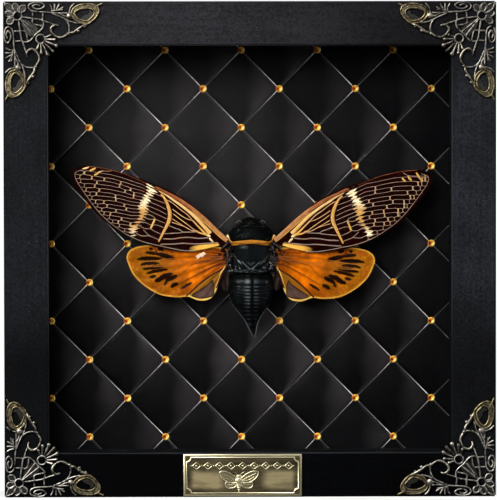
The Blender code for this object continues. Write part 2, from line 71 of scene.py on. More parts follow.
CAMERA_PLACE = Vector((-20.0, -1651.25, 159.0)) * MM
CAMERA_TURN = (87.952, 0.084, -0.681)
CAMERA_LENS_MM = 289.85

bpy.ops.object.camera_add(location=CAMERA_PLACE, rotation=[math.radians(a) for a in CAMERA_TURN])
camera = bpy.context.object
camera.data.lens = CAMERA_LENS_MM
camera.data.sensor_width = 36
bpy.context.scene.camera = camera
bpy.context.scene.view_settings.view_transform = "Standard"


# ---------------------------------------------------------------- floor and light
# The frame stands on a white table in a white studio, which only the camera sees as white, so that they
# throw no light into the box. One soft light from the upper left throws the soft shadow of the moulding
# on the pad; small lights from the right only draw highlights, and one behind shows the back.

FLOOR_COLOUR = "#F4F4F3"
FLOOR_BOUNCE = "#303030"
STUDIO_WHITE = (1.0, 1.0, 1.0, 1)
STUDIO_DIM = (0.03, 0.03, 0.032, 1)
MIDDLE = Vector((0, 0, 0.1))


def linear(hex_colour):
    """An sRGB colour in hex as the linear colour that Blender works with."""
    channels = [int(hex_colour[k : k + 2], 16) / 255 for k in (1, 3, 5)]
    return (*[c / 12.92 if c <= 0.04045 else ((c + 0.055) / 1.055) ** 2.4 for c in channels], 1)


def wire(node, sockets):
    """Sets sockets of a node: a colour in hex, a value, or a link from a node or from an output of one."""
    for name, value in sockets.items():
        if isinstance(value, bpy.types.Node):
            value = next(socket for socket in value.outputs if socket.enabled)
        if isinstance(value, bpy.types.NodeSocket):
            node.id_data.links.new(value, node.inputs[name])
        else:
            node.inputs[name].default_value = linear(value) if isinstance(value, str) else value


def add_node(tree, kind, sockets=None, **settings):
    """Adds a node with its settings and its sockets. A mix is of colours unless it is set otherwise."""
    node = tree.nodes.new("ShaderNode" + kind)
    if kind == "Mix":
        node.data_type = "RGBA"
    for name, value in settings.items():
        setattr(node, name, value)
    wire(node, sockets or {})
    return node


def new_material(name, **sockets):
    """A Principled material; what is the same all over goes straight to the shader's sockets."""
    material = bpy.data.materials.new(name)
    material.use_nodes = True
    shader = material.node_tree.nodes["Principled BSDF"]
    wire(shader, {socket.replace("_", " "): value for socket, value in sockets.items()})
    return material, material.node_tree, shader


def soft_light(name, place, size, watts, colour="#FFFFFF"):
    """A square area light that faces the middle of the frame."""
    bpy.ops.object.light_add(type="AREA", location=place)
    light = bpy.context.object
    light.name = name
    light.rotation_euler = (MIDDLE - light.location).to_track_quat("-Z", "Y").to_euler()
    light.data.size = size
    light.data.energy = watts
    light.data.color = linear(colour)[:3]


bpy.ops.mesh.primitive_plane_add(size=0.5, location=(0, -0.2, 0))
floor = bpy.context.object
floor.name = "floor"
floor_paint, tree, shader = new_material("opal_table_top", Roughness=0.9, Emission_Strength=0.55)
mottle = add_node(tree, "TexNoise", {"Scale": 3.0, "Detail": 2.0})
tone = add_node(tree, "Mix", {0: mottle, 6: FLOOR_COLOUR, 7: "#EEEEED"})
looked_at = add_node(tree, "LightPath").outputs["Is Camera Ray"]
shown = add_node(tree, "Mix", {0: looked_at, 6: FLOOR_BOUNCE, 7: tone})
wire(shader, {"Base Color": shown, "Emission Color": shown})
floor.data.materials.append(floor_paint)

studio = bpy.data.worlds.new("studio")
bpy.context.scene.world = studio
studio.use_nodes = True
tree = studio.node_tree
seen = add_node(tree, "LightPath")
sky = add_node(tree, "Mix", {0: seen.outputs["Is Camera Ray"], 6: STUDIO_DIM, 7: STUDIO_WHITE})
wire(tree.nodes["Background"], {"Color": sky})

soft_light("key_upper_left", (-0.58, -1.0, 0.66), 0.8, 16.4)
soft_light("glint_upper_right", (0.5, -1.0, 0.5), 0.14, 1.1)
soft_light("glint_right", (0.9, -0.55, 0.2), 0.2, 0.8)
soft_light("top_softbox", (0.1, -0.25, 1.0), 0.4, 1.2)
soft_light("back_softbox", (0.45, 1.1, 0.5), 0.5, 9.0)


# ---------------------------------------------------------------- frame
# Four mitred rails of softwood, sprayed with satin black paint. A thin coat lets a faint grain show along
# each rail, with a little dust in it. The inner arrises are lighter, partly wear and partly a painted edge
# highlight, and each rail's blacks are painted light and shade: lighter where the light falls, darker away
# from it.

# The darkest and the lightest black on each rail, the tone of its inner arris with its painted edge
# highlight, and its gloss. The blacks are painted light and shade: the top rail is painted lightest and the
# bottom rail darkest, and the bottom rail is also the dullest.
PAINT_TONES_LIT = {
    "top": ("#0E0D10", "#2B2B2F", "#38383C", 0.1), "left": ("#0A0B0D", "#212429", "#5A5D62", 0.1),
    "right": ("#101114", "#2D3036", "#3C3F44", 0.1), "bottom": ("#020203", "#050608", "#3C3F43", 0.03),
}
# Where along each rail the painted light is brightest, how far from there it starts to fade and where it is
# faintest, all in mm, and what share of the paint's tone shows at both: a painted pool of light, with painted
# shade towards the ends of the top rail and the feet of the side rails.
PAINTED_LIGHT_ALONG = {
    "top": (-22, 15, 80, 1.3, 0.55), "left": (125, 36, 72, 1.08, 0.3), "right": (125, 36, 72, 1.08, 0.3),
    "bottom": (0, 20, 60, 1.2, 0.9),
}
GRAIN_WIDTH_MM = 1.0
GRAIN_LENGTH_MM = 28.0
ORANGE_PEEL_MM = 0.85
ARRIS_MM = 0.4
INNER_ARRIS_HIGHLIGHT = 0.15
DUST_SPACING_MM = 3.4
DUST_SIZE = 0.07


def painted_wood(side, dark, light, arris_highlight_tone, gloss):
    """Satin black paint over softwood, with its grain along the rail, a painted edge highlight on its inner
    arris, and painted light and shade along it.
    """
    material, tree, shader = new_material(f"painted_wood_{side}", Specular_IOR_Level=gloss)
    place = add_node(tree, "TexCoord").outputs["Object"]
    stretch = [1 / (GRAIN_WIDTH_MM * MM)] * 3
    stretch[2 if side in ("left", "right") else 0] = 1 / (GRAIN_LENGTH_MM * MM)
    grain_place = add_node(tree, "Mapping", {"Vector": place, "Scale": stretch})
    grain = add_node(tree, "TexNoise", {"Vector": grain_place, "Scale": 1.0, "Detail": 5.0, "Roughness": 0.6})
    cloud = add_node(tree, "TexNoise", {"Vector": place, "Scale": 30.0, "Detail": 3.0})
    peel = add_node(
        tree, "TexNoise",
        {"Vector": place, "Scale": 1 / (ORANGE_PEEL_MM * MM), "Detail": 4.0, "Roughness": 0.7},
    )
    peel = add_node(tree, "MapRange", {"Value": peel, "From Min": 0.34, "From Max": 0.66})
    flecks = add_node(tree, "Mix", {0: 0.5, 2: grain, 3: peel}, data_type="FLOAT")
    shade = add_node(tree, "Math", {0: flecks, 1: cloud}, operation="MULTIPLY")
    spread = add_node(tree, "MapRange", {"Value": shade, "From Min": 0.12, "From Max": 0.42})
    paint = add_node(tree, "Mix", {0: spread, 6: dark, 7: light})
    dust = add_node(tree, "TexVoronoi", {"Vector": place, "Scale": 1 / (DUST_SPACING_MM * MM)})
    speck = add_node(tree, "Math", {0: dust, 1: DUST_SIZE}, operation="LESS_THAN")
    dusty = add_node(tree, "Mix", {0: speck, 6: paint, 7: "#121315" if side == "bottom" else "#3E4044"})
    # The inner arris is painted lighter, partly as wear and partly as a painted edge highlight, faint on the
    # lip's inner face.
    low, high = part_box(f"rail_{side}")
    inner = {"left": high.x, "right": low.x, "top": low.z, "bottom": high.z}[side]
    parts = add_node(tree, "SeparateXYZ", {"Vector": place})
    across = parts.outputs["X" if side in ("left", "right") else "Z"]
    from_arris = add_node(tree, "Math", {0: across, 1: inner}, operation="SUBTRACT")
    from_arris = add_node(tree, "Math", {0: from_arris}, operation="ABSOLUTE")
    arris_highlight_share = add_node(tree, "MapRange", {"Value": from_arris, "From Min": ARRIS_MM * MM, "From Max": 0})
    behind = add_node(tree, "Math", {0: parts.outputs["Y"], 1: low.y}, operation="SUBTRACT")
    toward_front = add_node(
        tree, "MapRange",
        {"Value": behind, "From Min": ARRIS_MM * MM, "From Max": MM, "To Min": 1, "To Max": INNER_ARRIS_HIGHLIGHT},
    )
    arris_highlight_share = add_node(tree, "Math", {0: arris_highlight_share, 1: toward_front}, operation="MULTIPLY")
    with_arris_highlight = add_node(tree, "Mix", {0: arris_highlight_share, 6: dusty, 7: arris_highlight_tone})
    # Painted light and shade along the rail: the paint's tone is scaled up near the given middle and down
    # towards the ends.
    middle, near, far, most, least = PAINTED_LIGHT_ALONG[side]
    along = parts.outputs["Z" if side in ("left", "right") else "X"]
    off_middle = add_node(tree, "Math", {0: along, 1: middle * MM}, operation="SUBTRACT")
    off_middle = add_node(tree, "Math", {0: off_middle}, operation="ABSOLUTE")
    painted_light_share = add_node(
        tree, "MapRange",
        {"Value": off_middle, "From Min": near * MM, "From Max": far * MM, "To Min": most, "To Max": least},
        interpolation_type="SMOOTHSTEP",
    )
    with_painted_light = add_node(tree, "VectorMath", {0: with_arris_highlight, "Scale": painted_light_share}, operation="SCALE")
    roughness = add_node(tree, "MapRange", {"Value": grain, "To Min": 0.42, "To Max": 0.62})
    duller = add_node(
        tree, "MapRange", {"Value": painted_light_share, "From Min": 0.3, "From Max": 1.0, "To Min": 0.3, "To Max": 0}
    )
    roughness = add_node(tree, "Math", {0: roughness, 1: duller}, operation="ADD")
    relief = add_node(tree, "Bump", {"Height": flecks, "Strength": 0.35, "Distance": 0.12 * MM})
    wire(shader, {"Base Color": with_painted_light, "Roughness": roughness, "Normal": relief})
    return material


def dress(names, material):
    """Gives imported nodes, which keep their own shape, this finish."""
    for name in names:
        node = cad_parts[name]
        node.data.materials.clear()
        node.data.materials.append(material)


# Each rail gets its own blacks, which are painted light and shade.
for side, lit_tones in PAINT_TONES_LIT.items():
    dress((f"rail_{side}",), painted_wood(side, *lit_tones))
wood_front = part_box("rail_top")[0].y


# ---------------------------------------------------------------- pane
# A clear float-glass pane behind the lip. It has almost no reflection, as in a picture light, and
# lets the light straight through, so that what is behind it isn't dulled.

pane_glass, tree, shader = new_material(
    "clear_float_glass", Transmission_Weight=1.0, IOR=1.08, Base_Color="#FCFDFD"
)
wipe = add_node(tree, "TexNoise", {"Scale": 12.0, "Detail": 2.0})
haze = add_node(tree, "MapRange", {"Value": wipe, "To Min": 0.0, "To Max": 0.012})
wire(shader, {"Roughness": haze})
shadow_ray = add_node(tree, "LightPath").outputs["Is Shadow Ray"]
clear = add_node(tree, "BsdfTransparent")
through = add_node(tree, "MixShader", {0: shadow_ray, 1: shader, 2: clear})
wire(tree.nodes["Material Output"], {"Surface": through})
dress(("glass_pane",), pane_glass)


# ---------------------------------------------------------------- spacers
# Strips of black card between the pane and the pad, which make the box deep. Card is matt, with a
# fibrous face.

CARD_FIBRE_MM = 0.5


def mottled_material(name, dark, light, scale, detail, strength, depth_mm, **sockets):
    """A material of two tones, mixed by a noise that roughens its surface too."""
    material, tree, shader = new_material(name, **sockets)
    place = add_node(tree, "TexCoord").outputs["Object"]
    mottle = add_node(tree, "TexNoise", {"Vector": place, "Scale": scale, "Detail": detail})
    tone = add_node(tree, "Mix", {0: mottle, 6: dark, 7: light})
    relief = add_node(tree, "Bump", {"Height": mottle, "Strength": strength, "Distance": depth_mm * MM})
    wire(shader, {"Base Color": tone, "Normal": relief})
    return material


card = mottled_material(
    "black_card", "#030303", "#0B0B0C", 1 / (CARD_FIBRE_MM * MM), 4.0, 0.4, 0.05, Specular_IOR_Level=0.05,
    Roughness=0.9,
)
dress([f"spacer_{side}" for side in ("top", "bottom", "left", "right")], card)


# ---------------------------------------------------------------- pad
# A foam pad under black faux leather, tufted in diamonds: the cover is drawn down along the diagonal
# seams and to a stud at every crossing, and swells between them.

TUFT_STEP_X = 15.68 * MM
TUFT_STEP_Z = 15.96 * MM
TUFT_CENTRE_X = -3.3 * MM
TUFT_CENTRE_Z = 102.3 * MM
TUFT_TILES = 13
CELLS_PER_TILE = 22
SEAM_CROWDING = 1.5
VALLEY_DEPTH = 3.0 * MM
CUSHION_RISE = 2.9 * MM
SEAM_RISE = 1.0 * MM
CREASE_DEPTH = 0.25 * MM
CREASE_WIDTH = 0.018
PUCKERS = 20
PUCKER_DEPTH = 0.16 * MM
PUCKER_REACH = 4.0 * MM

pad_low, pad_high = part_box("quilted_pad")
pad_valley = pad_low.y + VALLEY_DEPTH


def pad_place(down, up):
    """X and Z of a place on the pad, counted in tiles along the falling and the rising seams."""
    column, row = down + up, up - down
    return TUFT_CENTRE_X + column * TUFT_STEP_X, TUFT_CENTRE_Z + row * TUFT_STEP_Z


def pad_y(down, up):
    """How far back the cover is there: lowest at the studs, a little higher along the seams."""
    fall, rise = abs(math.cos(math.pi * down)), abs(math.cos(math.pi * up))
    height = SEAM_RISE * max(fall, rise) + (CUSHION_RISE - SEAM_RISE) * math.sqrt(fall * rise)
    seam = min(0.5 - abs(down - round(down)), 0.5 - abs(up - round(up)))
    height -= CREASE_DEPTH * math.exp(-((seam / CREASE_WIDTH) ** 2))
    x, z = pad_place(down, up)
    stud_x, stud_z = pad_place(math.floor(down) + 0.5, math.floor(up) + 0.5)
    away = math.hypot(x - stud_x, z - stud_z)
    turn = math.atan2(z - stud_z, x - stud_x)
    fold = math.cos(PUCKERS * turn) * (away / PUCKER_REACH) * math.exp(-((away / PUCKER_REACH) ** 2))
    return pad_valley - height + PUCKER_DEPTH * fold


def crowded(t):
    """Moves a tile's grid lines towards its seams, where the cover bends most."""
    middle = round(t)
    off = (t - middle) * 2
    return middle + math.copysign(1 - (1 - abs(off)) ** SEAM_CROWDING, off) / 2


def only(piece):
    """Deselects everything but this piece and makes it active."""
    bpy.ops.object.select_all(action="DESELECT")
    piece.select_set(True)
    bpy.context.view_layer.objects.active = piece


def bake_place():
    """Brings the place, the turn and the scale of what is selected into its mesh."""
    bpy.ops.object.transform_apply(location=True, rotation=True, scale=True)
    return bpy.context.object


def edit_all():
    """Goes to edit mode with all of the active mesh selected."""
    bpy.ops.object.mode_set(mode="EDIT")
    bpy.ops.mesh.select_all(action="SELECT")


def end_edit():
    """Goes back to object mode."""
    bpy.ops.object.mode_set(mode="OBJECT")


def trim(piece, low, high, fill=False):
    """Cuts off, flat, what of a piece stands past these two corners in X and Z."""
    only(piece)
    bpy.ops.object.mode_set(mode="EDIT")
    for place, outwards in (
        ((low.x, 0, 0), (-1, 0, 0)), ((high.x, 0, 0), (1, 0, 0)), ((0, 0, low.z), (0, 0, -1)),
        ((0, 0, high.z), (0, 0, 1)),
    ):
        bpy.ops.mesh.select_all(action="SELECT")
        bpy.ops.mesh.bisect(plane_co=place, plane_no=outwards, clear_outer=True, use_fill=fill)
    end_edit()


def seat(piece, name, material, slot, *nodes):
    """Names a finished piece, brings its place into its mesh, gives it its material and puts it on the root
    body. The slot is not used.
    """
    only(piece)
    bake_place()
    piece.name = piece.data.name = name
    if material:
        piece.data.materials.clear()
        piece.data.materials.append(material)
    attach(piece, "root")
    if nodes:
        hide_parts(*nodes)
    return piece


bpy.ops.object.select_all(action="DESELECT")
grid_lines = TUFT_TILES * CELLS_PER_TILE
bpy.ops.mesh.primitive_grid_add(x_subdivisions=grid_lines, y_subdivisions=grid_lines, size=TUFT_TILES)
pad = bpy.context.object
for vert in pad.data.vertices:
    down, up = crowded(vert.co.x), crowded(vert.co.y)
    x, z = pad_place(down, up)
    vert.co = (x, pad_y(down, up), z)
trim(pad, pad_low, pad_high)
bpy.ops.object.mode_set(mode="EDIT")
bpy.ops.mesh.select_all(action="DESELECT")
bpy.ops.mesh.select_non_manifold()
bpy.ops.mesh.extrude_region_move(TRANSFORM_OT_translate={"value": (0, 4 * MM, 0)})
skirt = bmesh.from_edit_mesh(pad.data)
for vert in skirt.verts:
    if vert.select:
        vert.co.y = pad_high.y
bpy.ops.mesh.edge_face_add()
bpy.ops.mesh.select_all(action="SELECT")
bpy.ops.mesh.normals_make_consistent(inside=False)
end_edit()
pad.data.shade_smooth()
pad.data.set_sharp_from_angle(angle=math.radians(50))

# Faux leather: a vinyl skin with a fine pebbled grain and a low sheen. Towards the right of each diamond,
# where the cover faces right, a greyer black is painted on as a sheen, strongest round the pad's middle as a
# painted pool of light and fading out at the pad's right edge as painted shade. The ground is painted a shade
# greyer round the middle too, and most so up and left of it, as painted light.
LEATHER_DARK = "#030304"
LEATHER_PAINTED_LIGHT = "#0B0A0B"
LEATHER_PAINTED_LIGHTEST = "#191818"
LEATHER_PAINTED_SHEEN = "#3A3638"
PEBBLE_MM = 0.55
PAINTED_SHEEN_CENTRE = (-0.004, 0.008, 0.094)
leather, tree, shader = new_material("black_faux_leather", Specular_IOR_Level=0.032)
place = add_node(tree, "TexCoord").outputs["Object"]
pebbles = add_node(tree, "TexVoronoi", {"Vector": place, "Scale": 1 / (PEBBLE_MM * MM)}, feature="SMOOTH_F1")
facing = add_node(tree, "NewGeometry").outputs["Normal"]
# A painted sheen on the slopes that face right; pull measures how far the cover faces right.
pull = add_node(
    tree, "VectorMath", {0: facing, 1: Vector((1.0, 0, -0.12)).normalized()}, operation="DOT_PRODUCT"
)
sheen_facing = add_node(tree, "MapRange", {"Value": pull, "From Min": 0.02, "From Max": 0.24})
patches = add_node(tree, "TexNoise", {"Vector": place, "Scale": 60.0, "Detail": 2.0})
painted_sheen = add_node(tree, "Math", {0: sheen_facing, 1: patches}, operation="MULTIPLY")
# A painted pool of light round the middle, and painted shade at the pad's right edge.
from_middle = add_node(tree, "VectorMath", {0: place, 1: PAINTED_SHEEN_CENTRE}, operation="DISTANCE")
painted_light_pool = add_node(
    tree, "MapRange",
    {"Value": from_middle, "From Min": 30 * MM, "From Max": 98 * MM, "To Min": 1.3, "To Max": 0.35},
)
painted_sheen = add_node(tree, "Math", {0: painted_sheen, 1: painted_light_pool}, operation="MULTIPLY")
along_pad = add_node(tree, "SeparateXYZ", {"Vector": place}).outputs["X"]
painted_edge_shade = add_node(
    tree, "MapRange",
    {"Value": along_pad, "From Min": 72 * MM, "From Max": 81 * MM, "To Min": 1, "To Max": 0.15},
)
painted_sheen = add_node(tree, "Math", {0: painted_sheen, 1: painted_edge_shade}, operation="MULTIPLY")
ground = LEATHER_DARK
# The ground is painted greyer in two pools round the middle, as painted light.
for centre, near, far, lit_ground in (
    ((0.0, 0.008, 0.102), 45, 90, LEATHER_PAINTED_LIGHT), ((-0.027, 0.008, 0.128), 22, 62, LEATHER_PAINTED_LIGHTEST)
):
    away = add_node(tree, "VectorMath", {0: place, 1: centre}, operation="DISTANCE")
    share = add_node(
        tree, "MapRange",
        {"Value": away, "From Min": near * MM, "From Max": far * MM, "To Min": 1, "To Max": 0},
        interpolation_type="SMOOTHSTEP",
    )
    ground = add_node(tree, "Mix", {0: share, 6: ground, 7: lit_ground})
skin = add_node(tree, "Mix", {0: painted_sheen, 6: ground, 7: LEATHER_PAINTED_SHEEN})
roughness = add_node(tree, "MapRange", {"Value": pebbles, "To Min": 0.42, "To Max": 0.6})
duller = add_node(
    tree, "MapRange",
    {"Value": from_middle, "From Min": 60 * MM, "From Max": 110 * MM, "To Min": 0, "To Max": 0.35},
)
roughness = add_node(tree, "Math", {0: roughness, 1: duller}, operation="ADD")
relief = add_node(tree, "Bump", {"Height": pebbles, "Strength": 0.25, "Distance": 0.06 * MM})
wire(shader, {"Base Color": skin, "Roughness": roughness, "Normal": relief})
seat(pad, "tufted_pad", leather, "faux_leather", "quilted_pad")


# ---------------------------------------------------------------- seam cord
# A thin grey satin cord lies in every seam, from stud to stud. Its brightness is painted on as a highlight,
# brightest on the left of each stud.

CORD_RADIUS = 0.17 * MM
CORD_POINTS = 9
CORD_LIFT = 0.1 * MM
FALLING_PAINTED_SHINE = 1.35
RISING_PAINTED_SHINE = 1.0
# Towards the pad's upper right corner the cord's painted highlight is darkened, as painted shade.
PAINTED_SHADE_REACH = 40 * MM
PAINTED_SHADE_LEAST = 0.25


def as_mesh(name, curve):
    """The mesh of a curve, as a piece."""
    piece = bpy.data.objects.new(name, curve)
    bpy.context.collection.objects.link(piece)
    only(piece)
    bpy.ops.object.convert(target="MESH")
    return bpy.context.object


def tube_piece(name, paths, radii, sides=3):
    """A mesh of round tubes along paths of points, each with its own radius or radii."""
    curve = bpy.data.curves.new(name, "CURVE")
    curve.dimensions = "3D"
    curve.bevel_depth = 1.0
    curve.bevel_resolution = sides - 2
    curve.use_fill_caps = True
    for path, radius in zip(paths, radii):
        spline = curve.splines.new("POLY")
        spline.points.add(len(path) - 1)
        for k, point in enumerate(path):
            spline.points[k].co = (*point, 1)
            spline.points[k].radius = radius[k] if isinstance(radius, list) else radius
    return as_mesh(name, curve)


def over_pad(path):
    """Whether either end of a path lies over the pad."""
    return any(abs(p.x) < pad_high.x and pad_low.z < p.z < pad_high.z for p in (path[0], path[-1]))


cord_paths = []
for line in range(TUFT_TILES + 1):
    for start in range(TUFT_TILES):
        fixed = line - TUFT_TILES / 2
        steps = [start - TUFT_TILES / 2 + k / (CORD_POINTS - 1) for k in range(CORD_POINTS)]
        for route in ([(fixed, s) for s in steps], [(s, fixed) for s in steps]):
            path = []
            for down, up in route:
                x, z = pad_place(down, up)
                path.append(Vector((x, pad_y(down, up) - CORD_LIFT, z)))
            if over_pad(path):
                cord_paths.append(path)
cords = tube_piece("cords", cord_paths, [CORD_RADIUS] * len(cord_paths))
trim(cords, pad_low, pad_high, fill=True)
painted_shine = cords.data.attributes.new("painted_shine", "FLOAT", "POINT")
for vert, value in zip(cords.data.vertices, painted_shine.data):
    column = (vert.co.x - TUFT_CENTRE_X) / TUFT_STEP_X
    row = (vert.co.z - TUFT_CENTRE_Z) / TUFT_STEP_Z
    down, up = (column - row) / 2, (column + row) / 2
    rising = abs(down % 1 - 0.5) < abs(up % 1 - 0.5)
    along = (up if rising else down) % 1
    from_corner = math.hypot(vert.co.x - pad_high.x, vert.co.z - pad_high.z)
    painted_glint = (along + 0.5) % 1 * (RISING_PAINTED_SHINE if rising else FALLING_PAINTED_SHINE)
    value.value = painted_glint * min(max(from_corner / PAINTED_SHADE_REACH, PAINTED_SHADE_LEAST), 1)
cords.data.shade_smooth()

# Satin rayon cord, twisted from fine yarns; the twist is too fine to show and is drawn as coarse flecks.
CORD_TWIST_MM = 1.2
satin, tree, shader = new_material("grey_satin_cord", Roughness=0.35, Sheen_Weight=0.3)
shine_read = add_node(tree, "Attribute", attribute_name="painted_shine")
painted_glint = add_node(tree, "Math", {0: shine_read.outputs["Fac"], 1: 2.1}, operation="POWER")
place = add_node(tree, "TexCoord").outputs["Object"]
yarn = add_node(tree, "TexNoise", {"Vector": place, "Scale": 1 / (CORD_TWIST_MM * MM), "Detail": 1.0})
lit = add_node(tree, "Math", {0: painted_glint, 1: yarn}, operation="MULTIPLY")
# The cord's tone runs from near black to near white by its painted highlight.
cord_tone = add_node(tree, "Mix", {0: lit, 6: "#101011", 7: "#FFF6F0"})
wire(shader, {"Base Color": cord_tone})
seat(cords, "seam_cords", satin, "faux_leather")


# ---------------------------------------------------------------- studs
# A domed stud of gilt brass at every crossing of the seams: a bright rolled rim round a sunk, tinted
# eye. Each is pressed through the cover and stands a little proud of it.

STUD_RADIUS = 1.5 * MM
STUD_SIDES = 24
STUD_FOOT = 0.5 * MM
STUD_STEPS = (
    (0.05, 0.2), (0.12, 0.2), (0.2, 0.14), (0.2, 0.0), (0.16, -0.16), (0.14, -0.22), (0.2, -0.06),
    (0.16, 0.02), (0.08, 0.12), (0.1, 0.03),
)
# The painted shade and the painted highlight, in shares of the stud's radius: where each is centred, how far
# it is full and where it ends.
STUD_PAINTED_SHADE = (-0.46, 0.0, 0.36, 0.64)
STUD_PAINTED_HIGHLIGHT = (0.95, -0.2, 0.45, 1.0)


def raised(steps):
    """Insets the selected face again and again, each time in by the first and out by the second, in mm."""
    for inset, rise in steps:
        bpy.ops.mesh.inset(thickness=inset * MM, depth=rise * MM)


def front_face(piece):
    """In edit mode, selects only the face nearest to the viewer."""
    mesh = bmesh.from_edit_mesh(piece.data)
    nearest = min(mesh.faces, key=lambda face: face.calc_center_median().y)
    for face in mesh.faces:
        face.select_set(face == nearest)
    bmesh.update_edit_mesh(piece.data)


def copy_of(model, name):
    """A copy of a model, with a mesh of its own."""
    copy = bpy.data.objects.new(name, model.data.copy())
    bpy.context.collection.objects.link(copy)
    return copy


def ball(segments, rings, radius=1, place=(0, 0, 0)):
    """A sphere, in metres."""
    bpy.ops.mesh.primitive_uv_sphere_add(segments=segments, ring_count=rings, radius=radius, location=place)
    return bpy.context.object


def joined(pieces):
    """Joins pieces into the first."""
    bpy.ops.object.select_all(action="DESELECT")
    for piece in pieces:
        piece.select_set(True)
    bpy.context.view_layer.objects.active = pieces[0]
    bpy.ops.object.join()
    return bpy.context.object


bpy.ops.object.select_all(action="DESELECT")
bpy.ops.mesh.primitive_cylinder_add(
    vertices=STUD_SIDES, radius=STUD_RADIUS, depth=STUD_FOOT, rotation=(math.pi / 2, 0, 0)
)
stud = bake_place()
bpy.ops.object.mode_set(mode="EDIT")
front_face(stud)
raised(STUD_STEPS)
bpy.ops.mesh.merge(type="CENTER")
end_edit()
stud.data.shade_smooth()
# The stain attribute holds the painted shade, and the other one the painted highlight.
for name, (right, up, full, end) in (("stain", STUD_PAINTED_SHADE), ("painted_highlight", STUD_PAINTED_HIGHLIGHT)):
    layer = stud.data.attributes.new(name, "FLOAT", "POINT")
    for vert, value in zip(stud.data.vertices, layer.data):
        away = math.hypot(vert.co.x / STUD_RADIUS - right, vert.co.z / STUD_RADIUS - up)
        value.value = min(max((end - away) / (end - full), 0), 1) if vert.co.y < 0 else 0
studs = []
tiles = range(-(TUFT_TILES // 2), TUFT_TILES // 2 + 1)
for column, row in ((column, row) for column in tiles for row in tiles):
    x, z = TUFT_CENTRE_X + column * TUFT_STEP_X, TUFT_CENTRE_Z + row * TUFT_STEP_Z
    if (column + row) % 2 and abs(x) < pad_high.x and pad_low.z < z < pad_high.z:
        studs.append(copy_of(stud, stud.name))
        studs[-1].location = (x, pad_valley - STUD_FOOT / 2, z)
bpy.data.objects.remove(stud)
studs = joined(studs)

# Gilt brass under a thick yellow lacquer, which shines from all sides. A dark red-brown is painted on the
# left of each stud as painted shade, and a pale yellow on the right as a painted highlight.
gilt, tree, shader = new_material("lacquered_gilt_brass", Metallic=0.35)
painted_shade_read = add_node(tree, "Attribute", attribute_name="stain")
painted_highlight_read = add_node(tree, "Attribute", attribute_name="painted_highlight")
place = add_node(tree, "TexCoord").outputs["Object"]
tarnish = add_node(tree, "TexNoise", {"Vector": place, "Scale": 300.0, "Detail": 2.0})
gold = add_node(tree, "Mix", {0: tarnish, 6: "#ECAE28", 7: "#BE7A14"})
with_painted_highlight = add_node(tree, "Mix", {0: painted_highlight_read.outputs["Fac"], 6: gold, 7: "#FFE27A"})
with_painted_shade = add_node(tree, "Mix", {0: painted_shade_read.outputs["Fac"], 6: with_painted_highlight, 7: "#861E08"})
# The studs nearest to the pad's upper right corner are painted darker, as painted shade.
from_corner = add_node(
    tree, "VectorMath", {0: place, 1: (pad_high.x, pad_valley, pad_high.z)}, operation="DISTANCE"
)
corner_shade_share = add_node(
    tree, "MapRange",
    {"Value": from_corner, "From Min": 14 * MM, "From Max": 34 * MM, "To Min": 0.25, "To Max": 1.0},
)
with_corner_shade = add_node(tree, "VectorMath", {0: with_painted_shade, "Scale": corner_shade_share}, operation="SCALE")
roughness = add_node(tree, "MapRange", {"Value": tarnish, "To Min": 0.18, "To Max": 0.34})
wire(shader, {"Base Color": with_corner_shade, "Roughness": roughness})
seat(studs, "gilt_studs", gilt, "antique_brass")


# ---------------------------------------------------------------- corner ornaments
# Four cast openwork corners, each as wide as it is high: a rosette in the corner, scrolls and leaves
# along both rails to a drop-shaped ring, and a fan of beads on the diagonal. Each is glued on flat.

SPAN_POINTS = 6
STEM_RADIUS = 0.4
RIM_RADIUS = 0.46
BEAD_DEPTH = 0.6
BACK_GAP = 0.3 * MM
WEB_THICKNESS = 0.3 * MM
WEB_RISE = 0.25 * MM
ROSETTE = (5.9, 5.9)
ROSETTE_RING = 1.75
PETAL_START = 2.0
PETAL_WIDEST = 0.35
PETAL_HALF_WIDTH = 1.25
PETAL_FOOT_HALF = 0.5
FAN = (15.2, 15.2)
FAN_RING = 1.8
RAY_START = 2.0
RAY_RADII = (0.3, 0.62)
FAN_RAYS = ((0, 7.1, 0.7), (21, 6.9, 0.95), (42, 5.9, 0.75), (64, 4.3, 0.7))
PETAL_TIPS = ((0.9, 0.9), (4.7, 0.9), (8.9, 1.7), (0.9, 4.7), (1.7, 8.9))
